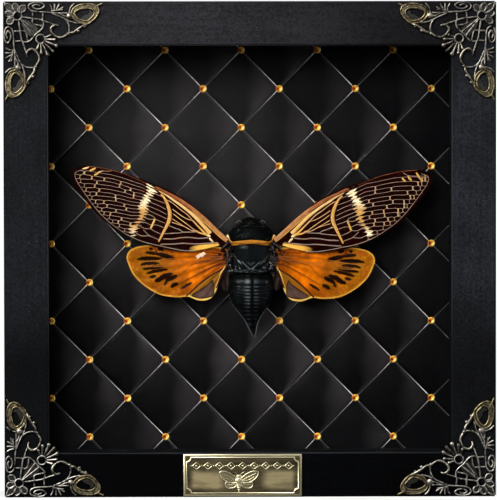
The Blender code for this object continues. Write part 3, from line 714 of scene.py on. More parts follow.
# Half a corner's strokes in millimetres along the rail and inwards from the corner of the frame.
SCROLLS = (
    (
        (15.0, 1.8), (13.4, 1.3), (11.9, 2.1), (13.4, 3.1), (15.6, 2.9), (16.8, 1.8), (15.6, 0.7),
        (13.2, 0.5), (10.8, 1.2), (10.4, 2.6), (11.8, 3.9), (14.6, 4.3), (17.5, 4.4), (22.0, 4.8),
        (26.1, 4.8),
    ),
    ((19.5, 4.1), (21.6, 3.7), (24.2, 3.4)), ((19.9, 3.8), (19.6, 2.4), (18.9, 1.1)),
    ((20.8, 3.6), (20.9, 2.3), (20.9, 1.0)), ((21.6, 3.6), (22.2, 2.4), (22.9, 1.1)),
    ((22.5, 3.5), (23.5, 2.9), (24.4, 2.4)), ((22.9, 5.0), (24.6, 5.9), (26.4, 6.2)),
    ((20.0, 4.9), (22.4, 5.9), (24.9, 7.1), (26.5, 9.1), (26.9, 11.4), (26.6, 12.9)),
    ((24.9, 7.1), (27.6, 8.3), (30.6, 9.0)), ((26.8, 4.8), (27.4, 2.6), (28.9, 0.9)),
    ((28.0, 5.9), (29.3, 7.4), (31.0, 8.6)), ((16.1, 7.9), (18.4, 8.6), (20.6, 9.4)),
    ((12.1, 4.6), (12.1, 6.9), (12.2, 9.1), (15.9, 10.0)), ((16.2, 4.9), (16.0, 7.6)),
    ((7.9, 6.4), (11.6, 6.9), (15.9, 7.7), (16.4, 9.6), (15.7, 11.2), (13.3, 13.3)),
    ((7.5, 7.3), (10.4, 9.6), (14.0, 12.4)),
)
# The hook beside the fan and the arm from it to the drop-shaped ring swell and thin out again.
HOOK = (
    (22.6, 9.9), (21.1, 9.6), (19.6, 10.6), (19.5, 12.2), (20.7, 13.7), (22.5, 14.6), (24.4, 14.4),
    (26.3, 13.2),
)
ARM = ((34.6, 9.1), (32.4, 10.0), (30.2, 11.3), (28.6, 12.5), (26.8, 12.8))
HOOK_RADII = (0.34, 0.6, 0.7, 0.66, 0.6, 0.6, 0.62, 0.5)
DROP_RIM = (
    (28.0, 5.8), (27.8, 4.6), (28.4, 3.1), (29.6, 2.1), (31.4, 1.4), (34.0, 1.1), (36.6, 1.4), (38.3, 2.4),
    (38.8, 4.0), (38.0, 6.0), (36.4, 7.8), (34.7, 8.9), (32.6, 8.9), (30.5, 8.5), (29.0, 7.3),
)
DROP_HOLE = (
    (28.9, 4.9), (30.2, 3.6), (32.4, 2.9), (34.9, 2.9), (36.5, 3.6), (37.0, 5.1), (35.9, 6.6), (34.3, 7.9),
    (32.2, 7.8), (30.2, 6.8),
)
DROP_SPUR = ((37.4, 2.2), (39.0, 1.4), (40.2, 0.9))
WEB = (
    (35.2, 3.6), (36.3, 4.4), (36.2, 6.0), (34.8, 7.5), (32.8, 7.8), (31.4, 7.2), (32.1, 6.2), (33.4, 5.6),
    (34.6, 5.2), (34.9, 4.3),
)
LEAF_WEB = ((7.4, 8.8), (8.4, 11.2), (11.0, 14.2), (13.2, 13.4), (14.2, 11.0), (11.2, 8.4), (8.8, 7.4))
BUDS = (((26.9, 6.0), 1.4), ((30.4, 12.0), 0.85), ((26.5, 13.2), 0.8), ((33.0, 10.3), 0.65))


def smooth_path(points, per_span=SPAN_POINTS, closed=False):
    """Points along a smooth curve that passes through the given ones."""
    count = len(points)
    made = []
    for k in range(count if closed else count - 1):
        if closed:
            a, b, c, d = (Vector(points[(k + step) % count]) for step in (-1, 0, 1, 2))
        else:
            b, c = Vector(points[k]), Vector(points[k + 1])
            a = Vector(points[k - 1]) if k else 2 * b - c
            d = Vector(points[k + 2]) if k + 2 < count else 2 * c - b
        for step in range(per_span):
            t = step / per_span
            bend = (a - 2.5 * b + 2 * c - d / 2) * t**2
            twist = (1.5 * (b - c) + (d - a) / 2) * t**3
            made.append(b + (c - a) * (t / 2) + bend + twist)
    made.append(Vector(points[0 if closed else -1]))
    return made


def arc(centre, radius, start=0.0, end=360.0, count=20):
    """Points of an arc in millimetres, by its angles in degrees."""
    angles = [math.radians(start + (end - start) * k / count) for k in range(count + 1)]
    return [(centre[0] + radius * math.cos(a), centre[1] + radius * math.sin(a)) for a in angles]


def between(values, share):
    """The value at a share of the way through a row of them."""
    if not isinstance(values, tuple):
        return values
    place = min(max(share, 0), 1) * (len(values) - 1)
    k = min(int(place), len(values) - 2)
    return values[k] + (values[k + 1] - values[k]) * (place - k)


def cast_strokes(name, strokes, radius):
    """Round bars along flat strokes, in millimetres right and down, lying on the front of the wood."""
    paths = []
    radii = []
    for stroke in strokes:
        count = len(stroke) - 1
        radii.append([between(radius, k / count) * MM for k in range(count + 1)])
        lifts = [wood_front - BACK_GAP - max(r, STEM_RADIUS * MM) for r in radii[-1]]
        paths.append([(u * MM, lift, -v * MM) for (u, v), lift in zip(stroke, lifts)])
    return tube_piece(name, paths, radii, sides=4)


def set_value(piece, attribute, value):
    """Gives the points of a piece a value of an attribute: one for all, or a function of their place."""
    found = piece.data.attributes.get(attribute) or piece.data.attributes.new(attribute, "FLOAT", "POINT")
    points = piece.data.vertices
    values = [value(p.co) for p in points] if callable(value) else [value] * len(points)
    found.data.foreach_set("value", values)


def flat_plate(name, outlines, thickness):
    """A plate that faces the viewer, from closed outlines in metres right and up; inner ones are holes."""
    curve = bpy.data.curves.new(name, "CURVE")
    curve.dimensions = "2D"
    curve.fill_mode = "BOTH"
    curve.extrude = thickness / 2
    for outline in outlines:
        spline = curve.splines.new("POLY")
        spline.points.add(len(outline) - 1)
        for point, (x, y) in zip(spline.points, outline):
            point.co = (x, y, 0, 1)
        spline.use_cyclic_u = True
    piece = as_mesh(name, curve)
    piece.rotation_euler = (math.pi / 2, 0, 0)
    return bake_place()


def both_sides(strokes):
    """The strokes and their mirror images over the diagonal."""
    return [list(s) for s in strokes] + [[(v, u) for u, v in s] for s in strokes]


petals = []
for tip in PETAL_TIPS:
    axis = Vector(tip) - Vector(ROSETTE)
    across = axis.orthogonal().normalized()
    foot = Vector(ROSETTE) + axis.normalized() * PETAL_START
    widest, half = foot + axis * PETAL_WIDEST, across * PETAL_HALF_WIDTH
    foot_half = across * PETAL_FOOT_HALF
    petals.append([foot + foot_half, widest + half, Vector(tip), widest - half, foot - foot_half])
rays = []
ray_ends = []
for degrees, length, bead in FAN_RAYS:
    way = Vector((math.cos(math.radians(45 - degrees)), math.sin(math.radians(45 - degrees))))
    rays.append([Vector(FAN) + way * RAY_START, Vector(FAN) + way * length])
    ray_ends.append((Vector(FAN) + way * length, bead))
strokes = [smooth_path(s) for s in both_sides(SCROLLS) + petals]
strokes += [arc(ROSETTE, ROSETTE_RING), arc(FAN, FAN_RING)]
plain = cast_strokes("strokes", strokes, STEM_RADIUS)
clubs = cast_strokes("clubs", both_sides(rays), RAY_RADII)
hooks = cast_strokes("hooks", [smooth_path(s) for s in both_sides([HOOK, ARM])], HOOK_RADII)
rims = [smooth_path(s, closed=True) for s in both_sides([DROP_RIM, DROP_HOLE])]
ring = cast_strokes("ring", rims, RIM_RADIUS)
spur = cast_strokes("spur", both_sides([DROP_SPUR]), RIM_RADIUS)
beads = []
for (u, v), radius in list(BUDS) + ray_ends:
    for place in ((u, v), (v, u)):
        front = wood_front - BACK_GAP - min(radius, BEAD_DEPTH) * MM
        bead = ball(14, 8, radius * MM, (place[0] * MM, front, -place[1] * MM))
        bead.scale.y = min(1, BEAD_DEPTH / radius)
        beads.append(bake_place())
webs = []
flats = [([outline], -1.0) for outline in both_sides([WEB]) + petals + [LEAF_WEB]]
for outlines, gilding in flats + [(rims[:2], 0.8), (rims[2:], 0.8)]:
    web = flat_plate("web", [[(u * MM, -v * MM) for u, v in outline] for outline in outlines], WEB_THICKNESS)
    web.location.y = wood_front - BACK_GAP - WEB_RISE
    set_value(web, "gilding", gilding)
    webs.append(web)
washed = [(plain, 0.0), (clubs, 0.1), (hooks, 0.3), (ring, 1.0), (spur, 1.0)]
for piece, gilding in washed + [(bead, 0.25) for bead in beads]:
    set_value(piece, "gilding", gilding)
corner = joined([plain, clubs, hooks, ring, spur] + beads + webs)
only(corner)
bake_place()
bpy.ops.object.shade_smooth_by_angle(angle=math.radians(50))

# Cast pewter alloy, antiqued: black in the hollows, rubbed back to a warm grey on top, with a thin brass wash
# on the drop-shaped rings. The lower corners are painted a lighter grey, as painted light. A cast skin is
# slightly rough.
CAST_GRAIN_MM = 1.4
pewter, tree, shader = new_material("antiqued_pewter", Metallic=1.0)
place = add_node(tree, "TexCoord").outputs["Object"]
skin = add_node(tree, "TexNoise", {"Vector": place, "Scale": 1 / (CAST_GRAIN_MM * MM), "Detail": 5.0})
pewter_normal = add_node(tree, "NewGeometry").outputs["Normal"]
upright = add_node(tree, "VectorMath", {0: pewter_normal, 1: (0, -1, 0)}, operation="DOT_PRODUCT")
toward_front = add_node(tree, "MapRange", {"Value": upright, "From Min": 0.32, "From Max": 0.8})
pale_share = add_node(tree, "MapRange", {"Value": skin, "From Min": 0.3, "From Max": 0.62})
bright = add_node(tree, "Math", {0: toward_front, 1: pale_share}, operation="MULTIPLY")
gilding = add_node(tree, "Attribute", attribute_name="gilding").outputs["Fac"]
pewter_parts = add_node(tree, "SeparateXYZ", {"Vector": place})
lower_painted_light = add_node(
    tree, "MapRange", {"Value": pewter_parts.outputs["Z"], "From Min": 60 * MM, "From Max": 20 * MM}
)
silver = add_node(tree, "Mix", {0: lower_painted_light, 6: "#AFA89E", 7: "#D6D0C6"})
metal_tone = add_node(tree, "Mix", {0: gilding, 6: silver, 7: "#B0A078"})
antiqued = add_node(tree, "Mix", {0: bright, 6: "#1E1B17", 7: metal_tone})
flat_web = add_node(tree, "Math", {0: gilding, 1: -0.5}, operation="LESS_THAN")
pewter_tone = add_node(tree, "Mix", {0: flat_web, 6: antiqued, 7: "#4E4C48"})
roughness = add_node(tree, "MapRange", {"Value": skin, "To Min": 0.22, "To Max": 0.5})
relief = add_node(tree, "Bump", {"Height": skin, "Strength": 0.5, "Distance": 0.08 * MM})
wire(shader, {"Base Color": pewter_tone, "Roughness": roughness, "Normal": relief})

for side, x, z, turn in (
    ("top_left", cad_low.x, cad_high.z, 0), ("top_right", cad_high.x, cad_high.z, 90),
    ("bottom_right", cad_high.x, cad_low.z, 180), ("bottom_left", cad_low.x, cad_low.z, 270),
):
    copy = copy_of(corner, "filigree")
    copy.location = (x, 0, z)
    copy.rotation_euler = (0, math.radians(turn), 0)
    seat(copy, f"filigree_{side}", pewter, "antique_pewter", f"corner_{side}")
bpy.data.objects.remove(corner)


# ---------------------------------------------------------------- plate
# A die-struck brass plate, glued to the bottom rail: a flat polished border, a raised rim with
# hollowed corners, and in the field a row of lozenges and beads over a winged insect.

PLATE_RISE = 1.3 * MM
OUTER_BORDER = 0.65 * MM
EDGE_ROUND = 0.15 * MM
FIELD_DROP = 0.35 * MM
FIELD_SLOPE = 0.12 * MM
RIM_INSET = 1.35
RIM_HOLLOW = 1.8
RIM_BAR = 0.42
LOZENGES = 9
LOZENGE_PITCH = 4.7
LOZENGE_HALF = (1.7, 1.4)
ROW_HEIGHT = 3.8
INSECT_SHIFT = -1.5
INSECT_DROP = 2.0

plate_low, plate_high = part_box("name_plate")
plate_middle = (plate_low + plate_high) / 2
plate_half = (plate_high - plate_low) / 2
plate_face = wood_front - PLATE_RISE
field_y = plate_face + FIELD_DROP

bpy.ops.mesh.primitive_cube_add(size=1, location=(plate_middle.x, wood_front - 0.8 * MM, plate_middle.z))
plate = bpy.context.object
plate.scale = (2 * plate_half.x, 1.0 * MM, 2 * plate_half.z)
bake_place()
edit_all()
bpy.ops.mesh.bevel(offset=EDGE_ROUND, segments=2, affect="EDGES")
front_face(plate)
bpy.ops.mesh.inset(thickness=OUTER_BORDER, depth=0)
bpy.ops.mesh.inset(thickness=FIELD_SLOPE, depth=-FIELD_DROP)
end_edit()


def on_plate(name, strokes, radius, closed=False, lift=0.0):
    """Round bars along strokes in millimetres from the plate's middle, half sunk in its field."""
    paths = []
    for stroke in strokes:
        smooth = list(stroke) + [stroke[0]] if closed else list(stroke)
        paths.append(
            [(plate_middle.x + x * MM, field_y - lift * MM, plate_middle.z + z * MM) for x, z in smooth]
        )
    return tube_piece(name, paths, [radius * MM] * len(paths), sides=4)


def on_plate_blob(x, z, half_x, half_y, half_z):
    """A rounded boss on the plate's field, by its half sizes in millimetres."""
    boss = ball(20, 12, MM, (plate_middle.x + x * MM, field_y, plate_middle.z + z * MM))
    boss.scale = (half_x, half_y, half_z)
    return bake_place()


rim_x, rim_z = plate_half.x / MM - RIM_INSET, plate_half.z / MM - RIM_INSET
rim_path = []
for x_sign, z_sign, start in ((1, 1, 270), (-1, 1, 360), (-1, -1, 90), (1, -1, 180)):
    rim_path += arc((x_sign * rim_x, z_sign * rim_z), RIM_HOLLOW, start, start - 90, count=8)
rim = on_plate("rim", [rim_path], RIM_BAR, closed=True, lift=0.25)

row = []
for k in range(LOZENGES):
    x = (k - (LOZENGES - 1) / 2) * LOZENGE_PITCH
    half_x, half_z = LOZENGE_HALF
    diamond = [
        (x - half_x, ROW_HEIGHT), (x, ROW_HEIGHT + half_z), (x + half_x, ROW_HEIGHT),
        (x, ROW_HEIGHT - half_z), (x - half_x, ROW_HEIGHT),
    ]
    row.append(on_plate("lozenge", [diamond], 0.24, lift=0.1))
    row.append(on_plate_blob(x, ROW_HEIGHT, 0.6, 0.4, 0.5))
    if k:
        row.append(on_plate_blob(x - LOZENGE_PITCH / 2, ROW_HEIGHT, 0.42, 0.4, 0.42))
end = (LOZENGES - 1) / 2 * LOZENGE_PITCH
rules = [[(side * (end + 1.7), ROW_HEIGHT), (side * (end + 2.3), ROW_HEIGHT)] for side in (-1, 1)]
row.append(on_plate("rules", rules, 0.18, lift=0.1))

# The insect, mirrored about its own axis: rounded forewings and hindwings with a raised edge.
UPPER_WING = (
    (0.9, 0.6), (2.6, 2.2), (5.0, 3.4), (7.2, 3.6), (7.9, 2.6), (6.8, 0.8), (4.8, -0.7), (2.4, -1.2),
    (1.1, -0.9),
)
LOWER_WING = ((1.1, -1.0), (3.0, -1.1), (5.0, -0.9), (5.6, -2.0), (4.8, -3.1), (2.9, -3.2), (1.3, -2.5))
FEELER = ((0.5, 1.8), (1.1, 2.7), (2.1, 3.3))
insect = []
for side in (-1, 1):
    at = INSECT_SHIFT
    for outline, veins in (
        (UPPER_WING, (((1.4, 0.0), (4.2, 1.5), (6.8, 2.8)), ((1.6, -0.5), (4.2, 0.2), (6.2, 1.4)))),
        (LOWER_WING, (((1.4, -1.6), (3.2, -1.9), (4.9, -2.0)),)),
    ):
        edge = [(at + side * p.x, p.y - INSECT_DROP) for p in smooth_path(outline, closed=True)]
        insect.append(on_plate("wing_edge", [edge], 0.2, lift=0.22))
        plan = [(plate_middle.x + x * MM, plate_middle.z + z * MM) for x, z in edge[:-1]]
        skin_plate = flat_plate("wing_skin", [plan], 0.3 * MM)
        skin_plate.location.y = field_y - 0.02 * MM
        insect.append(skin_plate)
        for vein in veins:
            line = [(at + side * p.x, p.y - INSECT_DROP) for p in smooth_path(vein)]
            insect.append(on_plate("wing_vein", [line], 0.1, lift=0.26))
    line = [(at + side * p.x, p.y - INSECT_DROP) for p in smooth_path(FEELER)]
    insect.append(on_plate("feeler", [line], 0.13, lift=0.1))
insect.append(on_plate_blob(INSECT_SHIFT, 1.5 - INSECT_DROP, 1.3, 0.45, 0.8))
insect.append(on_plate_blob(INSECT_SHIFT, -0.4 - INSECT_DROP, 1.9, 0.5, 1.8))
for ring_number in range(5):
    insect.append(
        on_plate_blob(
            INSECT_SHIFT, -1.8 - 0.72 * ring_number - INSECT_DROP, 1.6 - 0.3 * ring_number, 0.45, 0.6
        )
    )
plate = joined([plate, rim] + row + insect)
only(plate)
bake_place()
bpy.ops.object.shade_smooth_by_angle(angle=math.radians(40))

# Antique brass: blackened, then rubbed back, so that what stands up is polished and what lies low is
# dark. The field is brushed from side to side and rubbed brightest on both sides of the insect.
BRUSH_WIDTH_MM = 0.14
BRUSH_LENGTH_MM = 9.0
brass, tree, shader = new_material("antique_brass", Metallic=1.0)
brass_coords = add_node(tree, "TexCoord").outputs["Object"]
brass_place = add_node(tree, "Mapping", {"Vector": brass_coords, "Location": -plate_middle})
brush_place = add_node(
    tree, "Mapping",
    {"Vector": brass_place, "Scale": (1 / (BRUSH_LENGTH_MM * MM), 1 / MM, 1 / (BRUSH_WIDTH_MM * MM))},
)
brush = add_node(tree, "TexNoise", {"Vector": brush_place, "Scale": 1.0, "Detail": 4.0})
smudge_place = add_node(tree, "Mapping", {"Vector": brass_place, "Scale": (70, 200, 330)})
smudge = add_node(tree, "TexNoise", {"Vector": smudge_place, "Scale": 1.0, "Detail": 3.0})
parts = add_node(tree, "SeparateXYZ", {"Vector": brass_place})
from_side = add_node(tree, "Math", {0: parts.outputs["X"]}, operation="ABSOLUTE")
field = None
# Where the rubbing ends and where it is full: towards the sides, the foot, the row and the insect.
for value, none, full in (
    (from_side, plate_half.x - 2.3 * MM, plate_half.x - 4.8 * MM),
    (parts.outputs["Z"], -plate_half.z + 2.2 * MM, -plate_half.z + 4.4 * MM),
    (parts.outputs["Z"], 3.2 * MM, 0.2 * MM), (from_side, 6.5 * MM, 11 * MM),
):
    fade = add_node(
        tree, "MapRange", {"Value": value, "From Min": none, "From Max": full},
        interpolation_type="SMOOTHSTEP",
    )
    field = add_node(tree, "Math", {0: field, 1: fade}, operation="MULTIPLY") if field else fade
field = add_node(tree, "MapRange", {"Value": field, "To Min": 0.32, "To Max": 0.95})
rubbed_field = add_node(tree, "Math", {0: field, 1: smudge}, operation="MULTIPLY")
rubbed_field = add_node(tree, "MapRange", {"Value": rubbed_field, "From Min": 0.08, "From Max": 0.5})
proud = add_node(
    tree, "MapRange",
    {
        "Value": parts.outputs["Y"], "From Min": field_y - plate_middle.y - 0.1 * MM,
        "From Max": field_y - plate_middle.y - 0.32 * MM,
    },
)
field_tone = add_node(tree, "Mix", {0: rubbed_field, 6: "#342C20", 7: "#F0DCA6"})
brass_tone = add_node(tree, "Mix", {0: proud, 6: field_tone, 7: "#F2E6BC"})
roughness = add_node(tree, "MapRange", {"Value": brush, "To Min": 0.28, "To Max": 0.5})
relief = add_node(tree, "Bump", {"Height": brush, "Strength": 0.4, "Distance": 0.04 * MM})
wire(shader, {"Base Color": brass_tone, "Roughness": roughness, "Normal": relief})
seat(plate, "struck_plate", brass, "antique_brass", "name_plate")


# ---------------------------------------------------------------- forewings
# Leathery forewings, spread and dried flat: a thin maroon-black skin on a net of raised pale veins,
# with a feathery cream band across it. The right skin is made, and mirrored for the left, which is
# raised a little about its hinge; each wing has its own net of veins.

BODY_X = 0.5 * MM
FOREWING_HINGE = Vector((10.6, 0, 104.3)) * MM
FOREWING_DEPTH = 14.2 * MM
LEFT_FOREWING_LIFT = 1.8
SKIN_THICKNESS = 0.24 * MM
VEIN_RISE = 0.2 * MM
# Outlines and veins are in millimetres out from the hinge and up, as seen on the right wing.
FOREWING_EDGE = (
    (-1.6, 0.4), (7.9, 7.6), (15.6, 15.1), (23.8, 19.6), (32.7, 23.0), (43.7, 26.3), (52.1, 28.0),
    (58.8, 28.5), (63.4, 26.4), (63.0, 22.2), (58.6, 15.8), (52.6, 8.8), (46.2, 3.8), (38.6, -0.4),
    (32.7, -2.6), (25.8, -4.3), (16.8, -5.3), (9.0, -4.2), (3.0, -2.6), (-1.7, -2.2),
)
FOREWING_TIP = 8
CREAM_BAND = (
    (33.0, 22.4), (33.0, 20.5), (33.1, 18.4), (35.2, 16.2), (36.1, 14.3), (36.5, 12.4), (35.2, 9.9),
    (35.6, 7.5), (37.0, 5.6), (39.3, 4.1), (40.0, 3.2), (39.5, 1.0), (36.6, 0.0), (36.2, 2.1), (35.6, 4.2),
    (34.2, 6.4), (33.1, 8.3), (32.2, 10.9), (31.6, 12.6), (30.9, 14.7), (30.3, 16.4), (28.4, 18.3),
    (28.3, 20.2),
)
CLAVUS = (
    (16.8, -4.6), (12.8, -2.9), (9.5, -2.3), (5.3, -1.8), (2.6, -1.5), (2.4, -2.6), (4.1, -3.6), (8.3, -4.6),
    (11.8, -5.2),
)
# The long veins beyond the band fan out a little: how high the first one runs at a few places along
# each wing, and how far apart they are there. The two wings differ, as they do on a real insect.
LONG_VEINS = 17
LONG_VEIN_STATIONS = {
    "left": (
        (28.0, 19.6, 1.2), (34.6, 22.9, 1.28), (38.7, 24.2, 1.4), (43.0, 25.6, 1.46), (47.7, 26.8, 1.52),
        (53.0, 27.5, 1.58), (57.0, 28.2, 1.7), (63.0, 28.5, 1.75),
    ),
    "right": (
        (28.0, 19.8, 1.5), (33.0, 22.6, 1.57), (36.4, 24.4, 1.64), (40.0, 25.1, 1.65), (44.0, 26.0, 1.7),
        (48.5, 27.0, 1.77), (54.0, 27.5, 1.85), (63.0, 27.3, 1.85),
    ),
}
MARGIN_AT_TIP = 1.45
MARGIN_AT_BAND = 0.35
MARGIN_START = 39
MARGIN_RUN = 22
NET_START = 28.5
NET_STEP = 0.2
NET_STEPS = 180
BAND_SIDE = 33.4
CELL_END = 1.85
CELL_END_JOGS = (-0.15, 0.25)
LONG_VEIN_WIDTH = 0.22
CROSS_WIDTHS = (0.75, 0.42, 0.75)
CLOSING_WIDTHS = (0.42, 0.22, 0.42)
MARGIN_WIDTH = 0.24
RIM_START = 37.5
WING_MIDDLE = (40, 12)
KINK_DEPTH = 0.18
KINK_REACH = 0.65
CROSS_VEINS = {
    "left": (
        (55.2, 23.9), (50.1, 23.6), (43.3, 22.4), (53.1, 22.1), (53.9, 20.4), (43.8, 20.1), (52.0, 18.8),
        (41.5, 18.6), (53.2, 17.1), (45.4, 17.2), (37.8, 17.4), (45.1, 15.6), (37.9, 16.1), (50.0, 14.2),
        (41.6, 13.6), (48.7, 12.4), (40.8, 12.0), (45.0, 10.9), (47.2, 9.4), (42.6, 7.7), (43.9, 6.0),
        (39.3, 19.6), (38.9, 5.7), (58.3, 25.5),
    ),
    "right": (
        (57.9, 22.9), (40.4, 21.4), (47.0, 20.9), (55.8, 21.1), (40.3, 19.1), (53.6, 19.3), (46.4, 17.5),
        (54.7, 17.6), (37.7, 15.6), (47.6, 15.7), (52.2, 15.7), (52.2, 13.7), (39.5, 13.8), (45.1, 13.9),
        (39.1, 11.6), (43.8, 11.8), (49.7, 11.6), (49.7, 10.1), (44.2, 10.1), (38.0, 9.9), (40.3, 8.2),
        (45.6, 8.2), (39.8, 6.5), (44.0, 6.5), (59.6, 24.6),
    ),
}
# The pale oblong spots near the tip of each wing.
TIP_SPOTS = {
    "left": (
        (((59.1, 27.3), (57.9, 27.5), (56.6, 28.0)), (0.4, 0.8, 0.4), 0.86),
        (((56.1, 26.6), (54.9, 27.1), (53.8, 27.8)), (0.6, 0.9, 0.5), 0.78),
        (((54.2, 24.8), (53.2, 25.4), (52.3, 26.2)), (0.7, 0.85, 0.5), 0.76),
        (((52.2, 26.1), (50.6, 26.8)), (0.8, 0.4), (0.62, 0.3)),
        (((50.6, 26.7), (48.6, 26.6), (47.3, 26.9)), 0.26, 0.36),
    ),
    "right": (
        (((51.3, 25.2), (52.1, 24.3), (52.8, 23.7)), (0.7, 0.85, 0.6), 0.76),
        (((53.6, 26.0), (54.3, 25.1), (55.2, 24.1)), (0.5, 0.95, 0.6), 0.76),
        (((57.1, 27.4), (58.1, 25.8), (59.3, 24.0)), (0.6, 0.8, 0.5), 0.74),
        (((60.7, 26.2), (60.9, 25.0), (60.9, 24.0)), 0.5, 0.68),
        (((51.6, 27.4), (53.2, 26.4), (55.2, 26.0), (60.6, 25.9)), 0.26, 0.4),
    ),
}
GREY, TAN, ORANGE, GOLD, CREAM = 0.4, 0.46, 0.62, 0.8, 0.93
# The other veins, each with its width and its tint: one for all of it, or several along it.
BASAL_VEINS = (
    (
        (
            (29.6, 20.6), (24.3, 18.3), (19.5, 15.9), (14.8, 12.9), (11.4, 10.3), (7.8, 7.3), (3.2, 3.1),
            (-0.8, -0.4),
        ),
        (1.2, 1.7, 2.0, 1.8), (0.2, 0.27, 0.31, 0.34),
    ),
    (
        ((28.6, 20.9), (24.0, 18.7), (19.3, 16.4), (14.6, 13.4), (11.1, 10.7), (7.4, 7.7), (2.7, 3.4)),
        (0.2, 0.35, 0.45, 0.4), (0.3, 0.6),
    ),
    (
        ((24.0, 17.9), (19.4, 15.4), (14.8, 12.4), (11.3, 9.7), (7.7, 6.7), (3.2, 2.6)), (0.15, 0.25, 0.2),
        0.05,
    ),
    (
        ((17.0, 13.9), (14.7, 12.2), (11.5, 9.5), (7.4, 5.9), (2.0, 1.1), (-0.6, -0.9)), (0.2, 0.7, 0.7, 0.5),
        0.76,
    ),
    (((12.6, 11.5), (8.2, 7.8), (3.6, 3.7), (0.2, 0.7)), (0.2, 0.35, 0.3), 0.2),
    (
        (
            (27.6, 19.2), (24.4, 17.5), (21.8, 15.7), (18.0, 13.2), (14.6, 10.7), (11.7, 8.2), (8.8, 5.2),
            (6.1, 2.4),
        ),
        (0.5, 0.8, 1.1, 1.4, 1.7), (0.88, 0.8),
    ),
    (
        ((24.4, 17.3), (21.8, 15.4), (18.0, 12.9), (14.6, 10.4), (11.7, 7.9), (8.8, 5.0), (7.0, 3.1)),
        (0.1, 0.3, 0.4, 0.5), 0.64,
    ),
    (((24.2, 15.6), (21.8, 14.3), (18.9, 12.0), (16.0, 10.0), (13.8, 7.9)), 0.34, ORANGE),
    (((21.9, 11.9), (18.8, 9.7), (15.9, 8.1), (13.6, 7.5)), 0.34, ORANGE),
    (((13.6, 7.6), (10.9, 4.9), (8.5, 2.6), (6.8, 1.5)), (0.6, 0.9), (ORANGE, GOLD)),
    (((21.6, 10.0), (18.8, 8.0), (15.9, 6.0), (13.0, 3.9), (12.0, 3.3)), 0.34, ORANGE),
    (((21.8, 7.9), (19.7, 6.6), (17.3, 5.2), (14.9, 3.9), (13.5, 3.2)), 0.34, ORANGE),
    (((22.0, 6.5), (19.9, 5.9), (17.3, 5.1)), 0.32, ORANGE),
    (((13.5, 3.2), (12.0, 3.3), (10.8, 2.6), (8.5, 2.0), (6.6, 1.4)), 0.7, (ORANGE, GOLD)),
    (((23.1, 5.1), (20.8, 4.2), (18.6, 3.5), (17.2, 2.6), (14.4, 2.7), (12.0, 2.8)), 0.42, TAN),
    (((24.9, 1.7), (21.4, 2.0), (18.4, 2.3), (17.2, 2.6)), 0.4, TAN),
    (((25.4, -0.4), (21.3, -0.3), (17.8, 0.3), (14.3, 0.5), (10.8, 0.2), (7.0, 0.6)), 0.5, GREY),
    (((26.4, -2.7), (21.3, -2.4), (16.6, -2.0), (11.9, -2.1), (7.2, -1.7), (3.0, -1.3)), 0.5, GREY),
    (
        (
            (40.4, 1.0), (36.4, -0.8), (33.4, -1.8), (30.7, -2.5), (26.4, -3.3), (23.6, -3.9), (20.1, -4.5),
            (17.2, -4.9), (12.0, -5.0),
        ),
        0.35, TAN,
    ),
    (((7.6, 1.8), (6.9, 1.5), (6.0, 1.1)), (0.5, 1.1, 0.6), CREAM),
    (((6.5, 0.5), (5.8, -0.2), (4.8, -1.1)), (0.5, 0.9, 0.4), CREAM),
    (
        (
            (26.8, 17.9), (25.2, 16.1), (23.8, 13.3), (22.9, 10.1), (23.1, 7.2), (24.2, 4.6), (25.5, 1.8),
            (27.2, -1.6),
        ),
        (0.7, 0.9, 1.3, 1.5, 1.6, 1.2, 1.0, 0.6), (0.7, 0.76, 0.7),
    ),
    (((28.9, 7.7), (29.7, 5.7), (30.5, 3.8)), 0.8, 0.76),
    (((26.5, 16.9), (28.9, 17.9), (30.9, 18.9)), 0.28, GREY),
    (((25.1, 14.2), (28.9, 15.5), (32.2, 16.8)), 0.28, GREY),
    (((24.6, 11.7), (27.6, 13.2), (32.8, 15.1)), 0.28, GREY),
    (((24.2, 9.6), (27.6, 11.3), (33.2, 13.4)), 0.28, GREY),
    (((24.2, 7.9), (27.5, 9.3), (33.4, 11.8)), 0.28, GREY),
    (((33.4, 10.0), (31.0, 9.2), (29.6, 8.6), (28.9, 7.7)), 0.32, TAN),
    (((24.7, 6.1), (27.4, 7.0), (28.9, 7.6), (31.0, 7.4), (33.8, 8.4)), 0.32, TAN),
    (((25.1, 4.2), (28.2, 5.2), (30.2, 5.0), (32.6, 6.0), (35.2, 6.4)), 0.32, TAN),
    (((26.0, 1.4), (28.9, 2.6), (30.8, 3.6), (33.0, 3.6), (35.8, 5.0)), 0.32, GREY),
    (((26.8, -0.9), (28.9, -0.1), (31.0, 0.8), (33.6, 3.1)), 0.32, GREY),
    (((31.0, 0.8), (34.2, 0.6), (36.6, 1.6)), 0.32, GREY),
    (((57.6, 28.4), (51.8, 27.9), (47.0, 27.0), (42.3, 25.8), (37.6, 24.0), (33.4, 22.3)), 0.2, (0.28, 0.18)),
)


def even_steps(path, count):
    """Points at even distances along a path."""
    reached = [0.0]
    for a, b in zip(path, path[1:]):
        reached.append(reached[-1] + (b - a).length)
    made = []
    k = 0
    for step in range(count + 1):
        wanted = reached[-1] * step / count
        while k < len(path) - 2 and reached[k + 1] < wanted:
            k += 1
        share = (wanted - reached[k]) / (reached[k + 1] - reached[k])
        made.append(path[k].lerp(path[k + 1], min(max(share, 0), 1)))
    return made


def gap_to(point, path):
    """How far a point is from a path, both flat."""
    least = 1e9
    for a, b in zip(path, path[1:]):
        along = b - a
        share = min(max((point - a).dot(along) / max(along.length_squared, 1e-12), 0), 1)
        least = min(least, (point - a - along * share).length)
    return least


